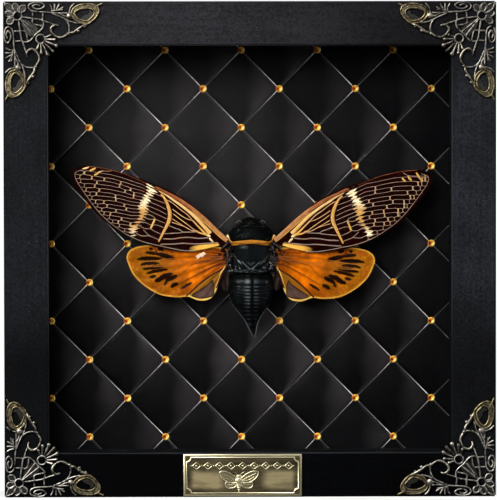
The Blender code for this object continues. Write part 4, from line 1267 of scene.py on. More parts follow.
def depth_in(point, loop):
    """How deep a point lies inside a closed path; outside it the answer is negative."""
    inside = False
    for a, b in zip(loop, loop[1:]):
        if (a.y > point.y) != (b.y > point.y) and point.x < a.x + (b.x - a.x) * (point.y - a.y) / (b.y - a.y):
            inside = not inside
    return gap_to(point, loop) * (1 if inside else -1)


def flat_mm(place):
    """A place in the wing's plane in millimetres."""
    return Vector((place.x, place.z)) / MM


def thin_skin(name, edge, tip, along, across, relief):
    """A sheet between a wing's leading and trailing edges; relief says how far back each place is, in mm."""
    loop = smooth_path(edge, closed=True)
    end = tip * SPAN_POINTS + SPAN_POINTS // 2
    leading = even_steps(loop[: end + 1], along)
    trailing = even_steps(list(reversed(loop[end : len(loop) - SPAN_POINTS])), along)
    bpy.ops.object.select_all(action="DESELECT")
    bpy.ops.mesh.primitive_grid_add(x_subdivisions=along, y_subdivisions=across, size=2)
    piece = bpy.context.object
    for vert in piece.data.vertices:
        step = round((vert.co.x + 1) / 2 * along)
        place = trailing[step].lerp(leading[step], (vert.co.y + 1) / 2)
        vert.co = (place.x * MM, relief(place) * MM, place.y * MM)
    edit_all()
    bpy.ops.mesh.remove_doubles(threshold=0.001 * MM)
    end_edit()
    solidify = piece.modifiers.new("thickness", "SOLIDIFY")
    solidify.thickness = SKIN_THICKNESS
    solidify.offset = 0
    bpy.ops.object.modifier_apply(modifier=solidify.name)
    piece.name = name
    piece.data.shade_smooth()
    piece.data.set_sharp_from_angle(angle=math.radians(60))
    return piece


def vein_piece(name, veins):
    """Raised veins on a wing, flattened in depth, from their paths, widths and tints."""
    made = []
    for path, width, tint in veins:
        line = smooth_path(path, per_span=4)
        count = len(line) - 1
        points = [(p.x * MM, 0, p.y * MM) for p in line]
        radii = [between(width, k / count) * MM / 2 for k in range(count + 1)]
        piece = tube_piece(name, [points], [radii], sides=4)
        start, run = line[0].x, line[-1].x - line[0].x
        set_value(piece, "tint", lambda co: between(tint, (co.x / MM - start) / run if run else 0))
        made.append(piece)
    piece = joined(made)
    for vert in piece.data.vertices:
        vert.co.y = VEIN_RISE * math.tanh(vert.co.y * 0.7 / VEIN_RISE) - SKIN_THICKNESS / 2
    piece.data.shade_smooth()
    return piece


def long_vein_at(label, number, x):
    """How high a long vein runs, before the cross-veins pull at it."""
    stations = LONG_VEIN_STATIONS[label]
    for (x0, high0, pitch0), (x1, high1, pitch1) in zip(stations, stations[1:]):
        if x <= x1:
            break
    share = (x - x0) / (x1 - x0)
    return high0 + (high1 - high0) * share - number * (pitch0 + (pitch1 - pitch0) * share)


def lane_at(label, x, z):
    """Between which long veins a place is, as a number that grows towards the trailing edge."""
    first = long_vein_at(label, 0, x)
    return (first - z) / (first - long_vein_at(label, 1, x))


def margin_at(x):
    """How wide the plain margin is beyond the last vein."""
    return between((MARGIN_AT_BAND, MARGIN_AT_TIP), (x - MARGIN_START) / MARGIN_RUN)


def outer_net(label):
    """The long veins beyond the cream band, their cross-veins and the vein along the margin."""
    loop = smooth_path(FOREWING_EDGE, per_span=3, closed=True)
    band = [Vector(p) for p in CREAM_BAND]
    band.append(band[0])
    ends = {}
    for number in range(1, LONG_VEINS):
        inside = []
        for step in range(NET_STEPS):
            x = NET_START + step * NET_STEP
            place = Vector((x, long_vein_at(label, number, x)))
            if depth_in(place, loop) > margin_at(x) and x > BAND_SIDE + max(0, 6 - place.y) * 0.6:
                inside.append(x)
        if len(inside) > 6:
            ends[number] = (inside[0], inside[-1])
    crosses = []
    for x, z in CROSS_VEINS[label]:
        crosses.append((x, int(lane_at(label, x, z))))
    for number in sorted(ends):
        if number + 1 in ends:
            cell_end = min(ends[number][1], ends[number + 1][1] + 0.5) - CELL_END
            crosses.append((cell_end + CELL_END_JOGS[number % 2], number))
    net = []

    def pulled(number, x):
        height = long_vein_at(label, number, x)
        for cross_x, lane in crosses:
            pull = KINK_DEPTH * math.exp(-(((x - cross_x) / KINK_REACH) ** 2))
            if lane == number:
                height -= pull
            if lane == number - 1:
                height += pull
        return height

    for number, (start, end) in ends.items():
        count = max(3, round((end - start) / 0.45))
        xs = [start + (end - start) * k / count for k in range(count + 1)]
        tint = 0.38 + 0.03 * (number % 3)
        net.append((tuple((x, pulled(number, x)) for x in xs), LONG_VEIN_WIDTH, (tint, tint + 0.06)))
    for x, lane in crosses:
        if lane in ends and lane + 1 in ends:
            high, low = pulled(lane, x), pulled(lane + 1, x)
            middle = (x + 0.05 * (lane % 3 - 1), (high + low) / 2)
            closing = (x, lane) in crosses[len(CROSS_VEINS[label]) :]
            width = CLOSING_WIDTHS if closing else CROSS_WIDTHS
            tint = 0.48 + 0.03 * (lane % 3) if closing else 0.54 + 0.04 * (lane % 3)
            net.append((((x - 0.08, high), middle, (x + 0.08, low)), width, tint))
    rim = []
    for point in loop[:-1]:
        if point.x > RIM_START:
            way = (Vector(WING_MIDDLE) - point).normalized()
            share = margin_at(point.x)
            while depth_in(point + way * share, loop) < margin_at(point.x):
                share += 0.1
            rim.append(tuple(point + way * share))
    rim = [p for p in rim if p[1] < 20 or p[0] > 57.5]
    net.append((tuple(rim), MARGIN_WIDTH, TAN))
    return net


cream_loop = [Vector(p) for p in CREAM_BAND + CREAM_BAND[:1]]
clavus_loop = [Vector(p) for p in CLAVUS + CLAVUS[:1]]
forewing = thin_skin("forewing", FOREWING_EDGE, FOREWING_TIP, 170, 64, lambda p: 0.0)
set_value(forewing, "cream", lambda co: depth_in(flat_mm(co), cream_loop))
set_value(forewing, "clavus", lambda co: depth_in(flat_mm(co), clavus_loop))

# The dry skin is nearly black with a red cast, glossy, and finely wrinkled across the lanes. The cream
# band is pigment, which runs out along the veins in feathers; the claval field is golden at its base.
FEATHER_REACH = 0.825
GILDING_HEIGHT = 113.2 * MM
membrane, tree, shader = new_material("maroon_wing_membrane", Specular_IOR_Level=0.01)
place = add_node(tree, "TexCoord").outputs["Object"]
lane = add_node(tree, "Attribute", attribute_name="lane").outputs["Fac"]
stain = add_node(tree, "TexNoise", {"Vector": place, "Scale": 220.0, "Detail": 3.0})
maroon = add_node(tree, "Mix", {0: stain, 6: "#050000", 7: "#1E0402"})
fringe = add_node(tree, "Math", {0: lane, 1: 0.5}, operation="PINGPONG")
feather_place = add_node(tree, "Mapping", {"Vector": place, "Scale": (260, 260, 900)})
feather_noise = add_node(tree, "TexNoise", {"Vector": feather_place, "Scale": 1.0, "Detail": 3.0})
near_vein = add_node(tree, "Math", {0: fringe, 1: -4.0, 2: 1.0}, operation="MULTIPLY_ADD")
ragged = add_node(tree, "Math", {0: feather_noise, 1: 3.4, 2: -1.7}, operation="MULTIPLY_ADD")
feather = add_node(tree, "Math", {0: near_vein, 1: ragged}, operation="ADD")
cream_read = add_node(tree, "Attribute", attribute_name="cream").outputs["Fac"]
cream_reach = add_node(tree, "Math", {0: feather, 1: FEATHER_REACH, 2: cream_read}, operation="MULTIPLY_ADD")
pale = add_node(tree, "Mix", {0: feather_noise, 6: "#B0905C", 7: "#F6E8C4"})
membrane_parts = add_node(tree, "SeparateXYZ", {"Vector": place})
from_gilding = add_node(
    tree, "Math", {0: membrane_parts.outputs["Z"], 1: GILDING_HEIGHT}, operation="SUBTRACT"
)
from_gilding = add_node(tree, "Math", {0: from_gilding}, operation="ABSOLUTE")
gilded = add_node(tree, "MapRange", {"Value": from_gilding, "From Min": 6.0 * MM, "From Max": 3.1 * MM})
cream_tone = add_node(tree, "Mix", {0: gilded, 6: pale, 7: "#B98A46"})
cream_reach = add_node(tree, "Math", {0: gilded, 1: 0.55, 2: cream_reach}, operation="MULTIPLY_ADD")
cream_mask = add_node(tree, "MapRange", {"Value": cream_reach, "From Min": 0.6, "From Max": 1.1})
with_cream = add_node(tree, "Mix", {0: cream_mask, 6: maroon, 7: cream_tone})
clavus_read = add_node(tree, "Attribute", attribute_name="clavus").outputs["Fac"]
clavus_mask = add_node(tree, "MapRange", {"Value": clavus_read, "From Min": -0.25, "From Max": 0.35})
out_from_body = add_node(tree, "Math", {0: membrane_parts.outputs["X"], 1: BODY_X}, operation="SUBTRACT")
out_from_body = add_node(tree, "Math", {0: out_from_body}, operation="ABSOLUTE")
clavus_fade = add_node(
    tree, "MapRange", {"Value": out_from_body, "From Min": 25.5 * MM, "From Max": 21.5 * MM}
)
golden = add_node(tree, "Math", {0: clavus_mask, 1: clavus_fade}, operation="MULTIPLY")
clavus_tone = add_node(tree, "Mix", {0: stain, 6: "#B87C20", 7: "#E2B458"})
with_clavus = add_node(tree, "Mix", {0: golden, 6: with_cream, 7: clavus_tone})
wrinkle_place = add_node(tree, "Mapping", {"Vector": place, "Scale": (1500, 400, 500)})
wrinkles = add_node(tree, "TexNoise", {"Vector": wrinkle_place, "Scale": 1.0, "Detail": 2.0})
roughness = add_node(tree, "MapRange", {"Value": wrinkles, "To Min": 0.25, "To Max": 0.45})
relief = add_node(tree, "Bump", {"Height": wrinkles, "Strength": 0.3, "Distance": 0.08 * MM})
wire(shader, {"Base Color": with_clavus, "Roughness": roughness, "Normal": relief})


def fill_ramp(node, tints):
    """Sets a colour ramp from pairs of a position and a colour."""
    elements = node.color_ramp.elements
    for place, tint in tints[1:-1]:
        elements.new(place)
    for element, (place, tint) in zip(elements, tints):
        element.position = place
        element.color = linear(tint)


# Veins are hollow ribs of horny chitin: maroon, grey, tan, orange, gold and cream along one ramp.
ribs, tree, shader = new_material("pale_wing_veins", Roughness=0.4, Specular_IOR_Level=0.05)
tint_read = add_node(tree, "Attribute", attribute_name="tint").outputs["Fac"]
place = add_node(tree, "TexCoord").outputs["Object"]
mottling = add_node(tree, "TexNoise", {"Vector": place, "Scale": 500.0, "Detail": 2.0})
shifted = add_node(tree, "Math", {0: mottling, 1: 0.16, 2: -0.08}, operation="MULTIPLY_ADD")
shifted = add_node(tree, "Math", {0: shifted, 1: tint_read}, operation="ADD")
ramp = add_node(tree, "ValToRGB", {"Fac": shifted})
RIB_TINTS = (
    (0.0, "#220605"), (0.14, "#45180E"), (0.27, "#7C4626"), (0.34, "#9A683C"), (0.4, "#76665E"),
    (0.48, "#7A6A5A"), (0.56, "#A6926C"), (0.64, "#AC7E54"), (0.74, "#BC8C3A"), (0.82, "#C49A5C"),
    (1.0, "#DEC498"),
)
fill_ramp(ramp, RIB_TINTS)
relief = add_node(tree, "Bump", {"Height": mottling, "Strength": 0.3, "Distance": 0.05 * MM})
wire(shader, {"Base Color": ramp, "Normal": relief})


def spread_wing(model, name, material, slot, side, hinge, behind_front, lift, *nodes):
    """Puts a right wing, or its mirror image for side -1, at its hinge and raises it by a few degrees."""
    copy = copy_of(model, name)
    copy.scale = (side, 1, 1)
    only(copy)
    bake_place()
    edit_all()
    bpy.ops.mesh.normals_make_consistent(inside=False)
    end_edit()
    copy.location = (BODY_X + side * hinge.x, wood_front + behind_front, hinge.z)
    copy.rotation_euler = (0, math.radians(-side * lift), 0)
    return seat(copy, name, material, slot, *nodes)


for label, side, lift in (("left", -1, LEFT_FOREWING_LIFT), ("right", 1, 0)):
    place = (side, FOREWING_HINGE, FOREWING_DEPTH, lift)
    set_value(forewing, "lane", lambda co: lane_at(label, *flat_mm(co)))
    forewing_veins = vein_piece(
        "forewing_veins", list(BASAL_VEINS) + outer_net(label) + list(TIP_SPOTS[label])
    )
    spread_wing(forewing, f"forewing_membrane_{label}", membrane, "forewing", *place, f"forewing_{label}")
    spread_wing(forewing_veins, f"forewing_net_{label}", ribs, "forewing", *place)
    bpy.data.objects.remove(forewing_veins)
bpy.data.objects.remove(forewing)


# ---------------------------------------------------------------- hindwings
# Shorter, softer hindwings: orange skins pleated like a fan from the hinge, with dark streaks between
# the outer veins, a yellow scalloped border and a greyish lobe next to the body, past a deep crease.

HINDWING_HINGE = Vector((9.4, 0, 98.5)) * MM
HINDWING_DEPTH = 15.7 * MM
LEFT_HINDWING_LIFT = 2.2
HINDWING_EDGE = (
    (-1.1, 1.6), (10.6, 3.2), (22.6, 3.6), (34.0, 2.2), (39.4, 0.6), (41.4, -2.2), (40.8, -5.4),
    (38.0, -10.6), (32.6, -15.2), (26.6, -18.0), (20.0, -18.6), (15.6, -18.2), (11.2, -19.6), (6.8, -18.8),
    (4.4, -15.6), (3.2, -11.6), (1.6, -6.8), (-1.2, -2.0),
)
HINDWING_TIP = 5
PLEATS = 21
PLEAT_DEPTH = 0.2
PLEAT_CENTRE = (-3.0, -0.5)
PLEAT_START = 14
LOBE = ((5.8, -11.0), (7.4, -12.6), (11.1, -15.2), (14.4, -17.8), (10.3, -18.7), (5.8, -17.8), (5.0, -15.4))
LOBE_FIELD = (
    (0.8, -5.4), (6.2, -9.0), (11.2, -12.9), (16.6, -18.2), (16.4, -21.0), (2.0, -21.0), (2.4, -14.0),
    (-2.0, -6.0),
)
STREAKS = (
    (((32.4, 1.0), (30.9, 0.7)), 0.9), (((28.9, 1.1), (26.3, 0.5)), 1.0), (((29.9, 0.2), (29.0, 0.0)), 0.5),
    (((33.9, -0.7), (31.0, -0.8), (27.9, -1.2)), 1.0),
    (((29.6, -1.0), (26.9, -1.5), (24.2, -2.2), (21.9, -2.7)), 1.3),
    (((37.2, -3.6), (34.7, -3.2), (31.3, -3.1), (27.0, -3.0)), 1.2),
    (((35.8, -5.8), (33.2, -5.2), (30.5, -5.0), (27.9, -4.9)), 1.0),
    (((34.9, -7.6), (32.5, -7.2), (29.4, -6.7), (26.1, -6.2)), 1.0),
    (((33.3, -9.4), (30.4, -8.5), (27.7, -7.8), (24.4, -7.2)), 1.0),
    (((31.8, -10.8), (30.5, -10.5), (29.0, -10.1)), 0.95),
    (((29.6, -12.4), (27.6, -11.5), (25.6, -10.1), (22.5, -8.9)), 1.5),
    (((25.2, -12.2), (23.5, -11.1), (21.8, -10.4), (20.4, -9.7)), 1.3),
    (((25.7, -13.9), (24.9, -12.9), (24.5, -11.9)), 0.75),
    (((23.0, -14.5), (21.7, -13.6), (19.8, -12.8)), 1.2),
    (((18.9, -15.2), (16.9, -13.9), (14.3, -12.3)), 0.8), (((23.2, -0.2), (22.7, -0.3)), 0.5),
)
HIND_VEINS = (
    (((1.9, -6.3), (6.2, -8.9), (11.2, -12.8), (16.4, -18.0)), (0.5, 0.75, 0.6), 0.02),
    (((1.2, -3.9), (6.0, -5.5), (11.3, -8.3), (16.0, -11.1), (19.0, -13.0)), (0.5, 0.3, 0.2), 0.14),
    (((2.0, -2.0), (8.1, -3.4), (14.2, -4.8), (16.8, -7.2), (19.8, -9.9)), (0.4, 0.3, 0.2), 0.2),
    (((2.1, -1.6), (8.1, -3.0), (15.0, -3.7), (26.0, -3.9)), (0.35, 0.25, 0.2), 0.26),
    (((2.4, -1.2), (9.0, -1.5), (16.0, -1.6), (21.5, -2.6)), (0.35, 0.25, 0.2), 0.26),
    (((16.0, -3.8), (21.0, -5.4), (27.0, -6.2)), (0.22, 0.2), 0.26),
    (((15.6, -3.9), (20.4, -6.8), (25.0, -8.9)), (0.22, 0.2), 0.26),
    (((22.0, -2.6), (30.5, -4.1), (36.4, -4.7)), (0.2, 0.2), 0.3),
    (((27.0, -6.2), (34.2, -6.7)), (0.2, 0.2), 0.3),
    (((1.5, -7.0), (3.0, -10.9), (4.3, -14.3)), (0.8, 0.9, 0.5), 0.03),
    (((0.6, -2.6), (-0.4, -3.4)), (1.2, 1.0), 0.03),
)

hindwing_loop = smooth_path(HINDWING_EDGE, per_span=3, closed=True)
lobe_loop = smooth_path(LOBE, per_span=3, closed=True)
lobe_field_loop = [Vector(p) for p in LOBE_FIELD + LOBE_FIELD[:1]]


def pleated(place):
    """Ridges and furrows that fan out from the hinge and fade towards it and towards the border."""
    away = (place - Vector(PLEAT_CENTRE)).length
    turn = math.atan2(place.y - PLEAT_CENTRE[1], place.x - PLEAT_CENTRE[0])
    at_border = min(1, gap_to(place, hindwing_loop) / 1.2 + 0.2)
    return PLEAT_DEPTH * math.sin(2 * PLEATS * turn) * min(1, away / PLEAT_START) * at_border


def streak_depth(co):
    """How deep a place lies in the nearest dark streak, each being widest in its middle."""
    place = flat_mm(co)
    deepest = -9.0
    for path, width in STREAKS:
        points = [Vector(p) for p in path]
        total = (points[-1] - points[0]).length
        share = min(max((place - points[0]).dot(points[-1] - points[0]) / total**2, 0), 1)
        half = 1.5 * width / 2 * (0.1 + 1.85 * math.sqrt(max(share * (1 - share), 0)))
        deepest = max(deepest, half - gap_to(place, points))
    return deepest


hindwing = thin_skin("hindwing", HINDWING_EDGE, HINDWING_TIP, 130, 90, pleated)
HIND_MARKS = {
    "reach": lambda co: flat_mm(co).length, "border": lambda co: gap_to(flat_mm(co), hindwing_loop),
    "lobe_field": lambda co: depth_in(flat_mm(co), lobe_field_loop),
    "lobe": lambda co: depth_in(flat_mm(co), lobe_loop), "streak": streak_depth,
}
for name, measure in HIND_MARKS.items():
    set_value(hindwing, name, measure)
hindwing_veins = vein_piece("hindwing_veins", HIND_VEINS)
for vert in hindwing_veins.data.vertices:
    vert.co.y += pleated(flat_mm(vert.co)) * MM

# A thin dry skin, satin rather than glossy, and brightest where it is thinnest, near the hinge. The
# border has a fine net of reddish cells and a paler hem.
BORDER_CELL_MM = 1.9
orange, tree, shader = new_material("orange_wing_membrane", Specular_IOR_Level=0.02, Roughness=0.42)
place = add_node(tree, "TexCoord").outputs["Object"]
blotch = add_node(tree, "TexNoise", {"Vector": place, "Scale": 260.0, "Detail": 4.0})
fine = add_node(tree, "TexNoise", {"Vector": place, "Scale": 1100.0, "Detail": 2.0})
reach_read, border_read, field_read, lobe_read, streak_read = (
    add_node(tree, "Attribute", attribute_name=name).outputs["Fac"] for name in HIND_MARKS
)
from_hinge = add_node(tree, "MapRange", {"Value": reach_read, "From Min": 0.0, "From Max": 42.0})
ground = add_node(tree, "ValToRGB", {"Fac": from_hinge})
SKIN_TINTS = (
    (0.0, "#0E0703"), (0.1, "#3A1E05"), (0.22, "#A04E01"), (0.4, "#CA6400"), (0.55, "#8E4A03"),
    (0.85, "#8E5A08"),
)
fill_ramp(ground, SKIN_TINTS)
mottled = add_node(
    tree, "MapRange", {"Value": blotch, "From Min": 0.3, "From Max": 0.7, "To Min": 0.45, "To Max": 1.15}
)
ground_tone = add_node(tree, "VectorMath", {0: ground, "Scale": mottled}, operation="SCALE")
rim_wave = add_node(tree, "Math", {0: blotch, 1: 1.6, 2: border_read}, operation="MULTIPLY_ADD")
rim_mask = add_node(tree, "MapRange", {"Value": rim_wave, "From Min": 1.55, "From Max": 0.95})
cells = add_node(
    tree, "TexVoronoi", {"Vector": place, "Scale": 1 / (BORDER_CELL_MM * MM)}, feature="DISTANCE_TO_EDGE"
)
cell_lines = add_node(tree, "MapRange", {"Value": cells, "From Min": 0.2, "From Max": 0.05})
near_border = add_node(
    tree, "MapRange", {"Value": border_read, "From Min": 5.0, "From Max": 3.0, "To Max": 0.75}
)
cell_lines = add_node(tree, "Math", {0: cell_lines, 1: near_border}, operation="MULTIPLY")
outermost = add_node(tree, "MapRange", {"Value": border_read, "From Min": 0.75, "From Max": 0.45})
field_mask = add_node(tree, "MapRange", {"Value": field_read, "From Min": -0.1, "From Max": 0.3})
hem = add_node(tree, "MapRange", {"Value": border_read, "From Min": 0.85, "From Max": 0.6})
hem = add_node(tree, "Math", {0: hem, 1: field_mask}, operation="MULTIPLY")
dark_ring = add_node(tree, "MapRange", {"Value": lobe_read, "From Min": -0.2, "From Max": 0.1})
lobe_edge = add_node(tree, "Math", {0: fine, 1: 0.9, 2: lobe_read}, operation="MULTIPLY_ADD")
lobe_mask = add_node(tree, "MapRange", {"Value": lobe_edge, "From Min": 0.6, "From Max": 1.1})
lobe_tone = add_node(tree, "Mix", {0: blotch, 6: "#1E120F", 7: "#5E463E"})
streak_edge = add_node(tree, "Math", {0: fine, 1: 0.7, 2: streak_read}, operation="MULTIPLY_ADD")
streak_mask = add_node(tree, "MapRange", {"Value": streak_edge, "From Min": 0.12, "From Max": 0.6})
# The golden border, its net of cells and its pale hem, the greyish lobe's field with its hem, the dark
# ring round the lobe, the lobe and the streaks lie over each other in this order.
skin = ground_tone
for mask, tone in (
    (rim_mask, "#B87A12"), (cell_lines, "#7A3404"), (outermost, "#AC7A2C"), (field_mask, "#74480E"),
    (hem, "#BC984C"), (dark_ring, "#1C0E07"), (lobe_mask, lobe_tone), (streak_mask, "#180703"),
):
    skin = add_node(tree, "Mix", {0: mask, 6: skin, 7: tone})
relief = add_node(tree, "Bump", {"Height": fine, "Strength": 0.35, "Distance": 0.06 * MM})
wire(shader, {"Base Color": skin, "Normal": relief})

for label, side, lift in (("left", -1, LEFT_HINDWING_LIFT), ("right", 1, 0)):
    place = (side, HINDWING_HINGE, HINDWING_DEPTH, lift)
    spread_wing(hindwing, f"hindwing_membrane_{label}", orange, "hindwing", *place, f"hindwing_{label}")
    spread_wing(hindwing_veins, f"hindwing_net_{label}", ribs, "hindwing", *place)
bpy.data.objects.remove(hindwing)
bpy.data.objects.remove(hindwing_veins)

# A ragged flake of pale skin is dried onto the left hindwing.
FLAKE_PLACE = Vector((-20.1, 15.25, 97.85)) * MM
FLAKE_HALF = Vector((1.8, 0.3, 0.7)) * MM
FLAKE_TILT = -27
bpy.ops.object.select_all(action="DESELECT")
bpy.ops.mesh.primitive_ico_sphere_add(subdivisions=5, radius=1)
flake = bpy.context.object
for vert in flake.data.vertices:
    vert.co *= 1 + 0.6 * noise.noise(vert.co * 2.2 + Vector((4, 0, 1))) + 0.5 * noise.noise(vert.co * 6.0)
flake.scale = FLAKE_HALF
flake.rotation_euler = (0, math.radians(FLAKE_TILT), 0)
flake.location = FLAKE_PLACE + Vector((0, wood_front, 0))
bake_place()
flake.data.shade_smooth()
flake_skin = mottled_material(
    "pale_dried_skin", "#B06A3A", "#FFE6CC", 900.0, 3.0, 0.5, 0.1, Roughness=0.6, Specular_IOR_Level=0.1
)
seat(flake, "pale_flake", flake_skin, "hindwing")


# ---------------------------------------------------------------- body
# The cicada's body, dried hard and black: a broad rough head with a glossy eye at each side, a rough
# collar plate with an orange-brown hind rim, a smoother shield behind it, and a glossy ringed abdomen.

BODY_DEPTH = 17.2
BODY_FLATTENING = 0.62
HEAD_HALF_SIZE = (6.1, 4.0, 4.4)
HEAD_CENTRE_Z = 109.0
HEAD_CUT_Z = 109.9
HEAD_LUMPS = 0.05
# The furrow under the brow, in shares of the head's size.
BROW_DEPTH = 0.05
BROW_UP = 0.42
BROW_WIDTH = 0.07
EYE_SPREAD = 4.7
EYE_Z = 110.9
EYE_DEPTH = 15.7
EYE_RADIUS = 1.3
GLINT_PROUD = 0.55
OCELLUS_RADIUS = 0.3
THORAX_PROFILE = (
    (0, 90.6), (6.6, 90.7), (7.5, 91.4), (7.7, 94.0), (7.8, 97.0), (7.9, 100.0), (8.1, 102.2), (9.3, 103.2),
    (10.0, 104.8), (9.4, 106.4), (8.1, 108.1), (6.5, 109.3), (0, 109.6),
)
COLLAR_BAND = ((-9.9, 105.6), (-9.2, 103.6), (-7.6, 102.6), (-4.2, 103.1), (0, 103.5))
COLLAR_HALF_WIDTH = 0.85
# The smooth shield behind the collar: half its width at its hind end, how much wider it is in front, and the
# heights between which it widens. Then the heights where the painted highlights, the pits and the collar end.
SHIELD_HALF = (4.3, 3.0)
SHIELD_START = 92.5
SHIELD_LENGTH = 8
HIGHLIGHT_BELOW = 102.4
COARSE_ABOVE = 102.6
COLLAR_ABOVE = 103.4
SHIELD_RIDGES = (
    (((3.7, 95.2), (2.2, 93.9), (0.6, 92.4)), 0.42), (((0.3, 94.0), (0.6, 94.6), (1.3, 94.9)), 0.3),
    (((0.0, 92.3), (2.2, 91.8), (5.0, 91.2)), 0.34), (((7.3, 98.5), (5.8, 96.2), (3.9, 94.2)), 0.36),
)
ABDOMEN_PROFILE = (
    (0, 65.4), (0.6, 65.8), (1.3, 67.8), (2.2, 69.9), (3.3, 71.8), (5.3, 74.7), (7.1, 77.0), (8.3, 79.6),
    (9.0, 82.4), (9.2, 85.5), (9.0, 88.2), (8.4, 89.9), (0, 90.3),
)
SEGMENT_EDGES = (89.2, 86.0, 84.6, 83.1, 81.7, 80.3, 79.1, 77.6, 76.1, 74.5, 72.8, 71.0, 68.5, 65.6, 62.0)
SEGMENT_STEP = 0.56
# Each ring climbs steeply, runs nearly level as a polished bar, and drops to the next one.
BAR_START = 0.42
BAR_END = 0.84
BAR_HEIGHT = 0.8
MIDLINE_X = 0.35
MIDLINE_GROOVE = 0.3
MIDLINE_END = 68
FLANK_X = 4.6
FLANK_END = 74
TAIL_BEND = 1.0 * MM
TAIL_START = 78
TAIL_LENGTH = 12
# The pale hind edges of the side flaps, which run together in two blades at the tail.
FLAP_EDGE = (
    (8.7, 16.9, 80.6), (7.2, 17.0, 77.2), (5.4, 16.9, 74.7), (3.3, 16.8, 71.8), (2.2, 16.5, 69.6),
    (1.1, 16.4, 66.4), (0.3, 16.5, 64.0),
)
FLAP_RADII = (0.05, 0.1, 0.1, 0.1, 0.14, 0.14, 0.06)
# What every point of the body is marked with: shares, of which the collar's goes past 1 at its ends. The last
# is a grey tone, painted on as highlights on the ridges, the bars and the eye rims.
MARKS = ("coarse", "collar", "amber", "pale_share")


def granules(co, size):
    """Smooth noise from -1 to 1 with lumps of about this size in mm."""
    return noise.noise(co / (size * MM))


def body_part(name, profile, across, around, shape):
    """A shell turned about the body's axis and flattened; shape pushes each place outwards, in mm."""
    stations = even_steps(smooth_path(profile), across)
    bpy.ops.object.select_all(action="DESELECT")
    piece = ball(around, across)
    for vert in piece.data.vertices:
        ring = round((0.5 + math.asin(min(max(vert.co.z, -1), 1)) / math.pi) * across)
        half, high = stations[ring]
        turn = math.atan2(vert.co.y, vert.co.x)
        out = max(half, 0)
        if 0 < ring < across:
            out += shape(out * math.cos(turn), -math.sin(turn), high) * min(1, out)
        vert.co = (
            BODY_X + out * math.cos(turn) * MM,
            wood_front + (BODY_DEPTH + BODY_FLATTENING * out * math.sin(turn)) * MM, high * MM,
        )
    piece.name = name
    piece.data.shade_smooth()
    return piece


def ridge(x, z, path, width):
    """One on a line, falling off to nothing at about its width."""
    return math.exp(-((gap_to(Vector((x, z)), [Vector(p) for p in path]) / width) ** 2))


def collar_share(x, z):
    """One on the collar's hind rim and nothing off it."""
    off = gap_to(Vector((-abs(x), z)), [Vector(p) for p in COLLAR_BAND])
    return min(max((COLLAR_HALF_WIDTH - off) / 0.2 + 0.5, 0), 1)


def off_shield(x, z):
    """One on the rough sides of the thorax and nothing on its smooth shield."""
    half = SHIELD_HALF[0] + SHIELD_HALF[1] * min(max((z - SHIELD_START) / SHIELD_LENGTH, 0), 1)
    return min(max(max(abs(x) - half, (92.0 - z) * 0.8) / 0.5 + 0.5, 0), 1)


def thorax_painted_highlight(co):
    """Where highlights are painted grey on the thorax behind the collar: on its ridges and as sparkle on the
    lumps at its sides.
    """
    x, z = body_mm(co)
    if z > HIGHLIGHT_BELOW or co.y > wood_front + BODY_DEPTH * MM:
        return 0.0
    crest = max(height / 0.42 * ridge(abs(x), z, path, 0.2) for path, height in SHIELD_RIDGES)
    return max(crest * 0.4, off_shield(x, z) * min(max(granules(co, 0.6) * 2.4 - 0.5, 0), 0.75))


def thorax_shape(x, front, z):
    """The plates of the thorax, where front is 1 at the middle of its face."""
    place = Vector((x, front * 4, z)) * MM
    rim = collar_share(x, z) if front > -0.2 else 0
    if z > COLLAR_ABOVE or rim > 0.5:
        lumps = 0.14 * granules(place, 1.5) + 0.06 * granules(place, 0.7) + 0.03 * granules(place, 0.35)
        furrow = 0.3 * ridge(abs(x), z, ((1.2, 109.0), (2.6, 106.6), (5.4, 104.6)), 0.45)
        furrow += 0.25 * ridge(abs(x), z, ((4.4, 108.8), (6.0, 106.8), (8.4, 105.6)), 0.4)
        return (lumps - furrow) * (1 - rim) + rim * (0.3 + 0.06 * granules(place, 0.9))
    push = 0.03 * granules(place, 0.8) - 0.25 * math.exp(-(((z - 101.9) / 0.5) ** 2))
    rough = off_shield(x, z)
    push += rough * (0.55 * granules(place, 0.9) + 0.35 * granules(place, 0.42) - 0.35)
    if front > 0:
        for path, height in SHIELD_RIDGES:
            push += height * ridge(abs(x), z, path, 0.2) * (1 - 0.6 * rough)
        push -= 0.12 * ridge(x, z, ((0, 101.0), (0, 95.0)), 0.35)
    return push


def ring_share(z):
    """How far a height is through its ring of the abdomen, from its front edge to its hind edge."""
    for ahead, behind in zip(SEGMENT_EDGES, SEGMENT_EDGES[1:]):
        if behind < z <= ahead:
            return (ahead - z) / (ahead - behind)
    return 0.0


def ring_painted_highlight(co):
    """Where highlights are painted grey on the abdomen: on the bars, on both sides of the dark middle line.
    """
    x, z = body_mm(co)
    if co.y > wood_front + BODY_DEPTH * MM:
        return 0.0
    bar = math.exp(-(((ring_share(z) - 0.66) / (0.3 if z > 86 else 0.2)) ** 2))
    off = abs(x - MIDLINE_X) - 0.7
    side = min(max(off / 0.4, 0), 1) * math.exp(-((max(off - 1.0, 0) / 1.0) ** 2))
    return bar * side * min(max((z - 75) / 6, 0.15), 1) * (0.5 if x < 0 else 0.24)


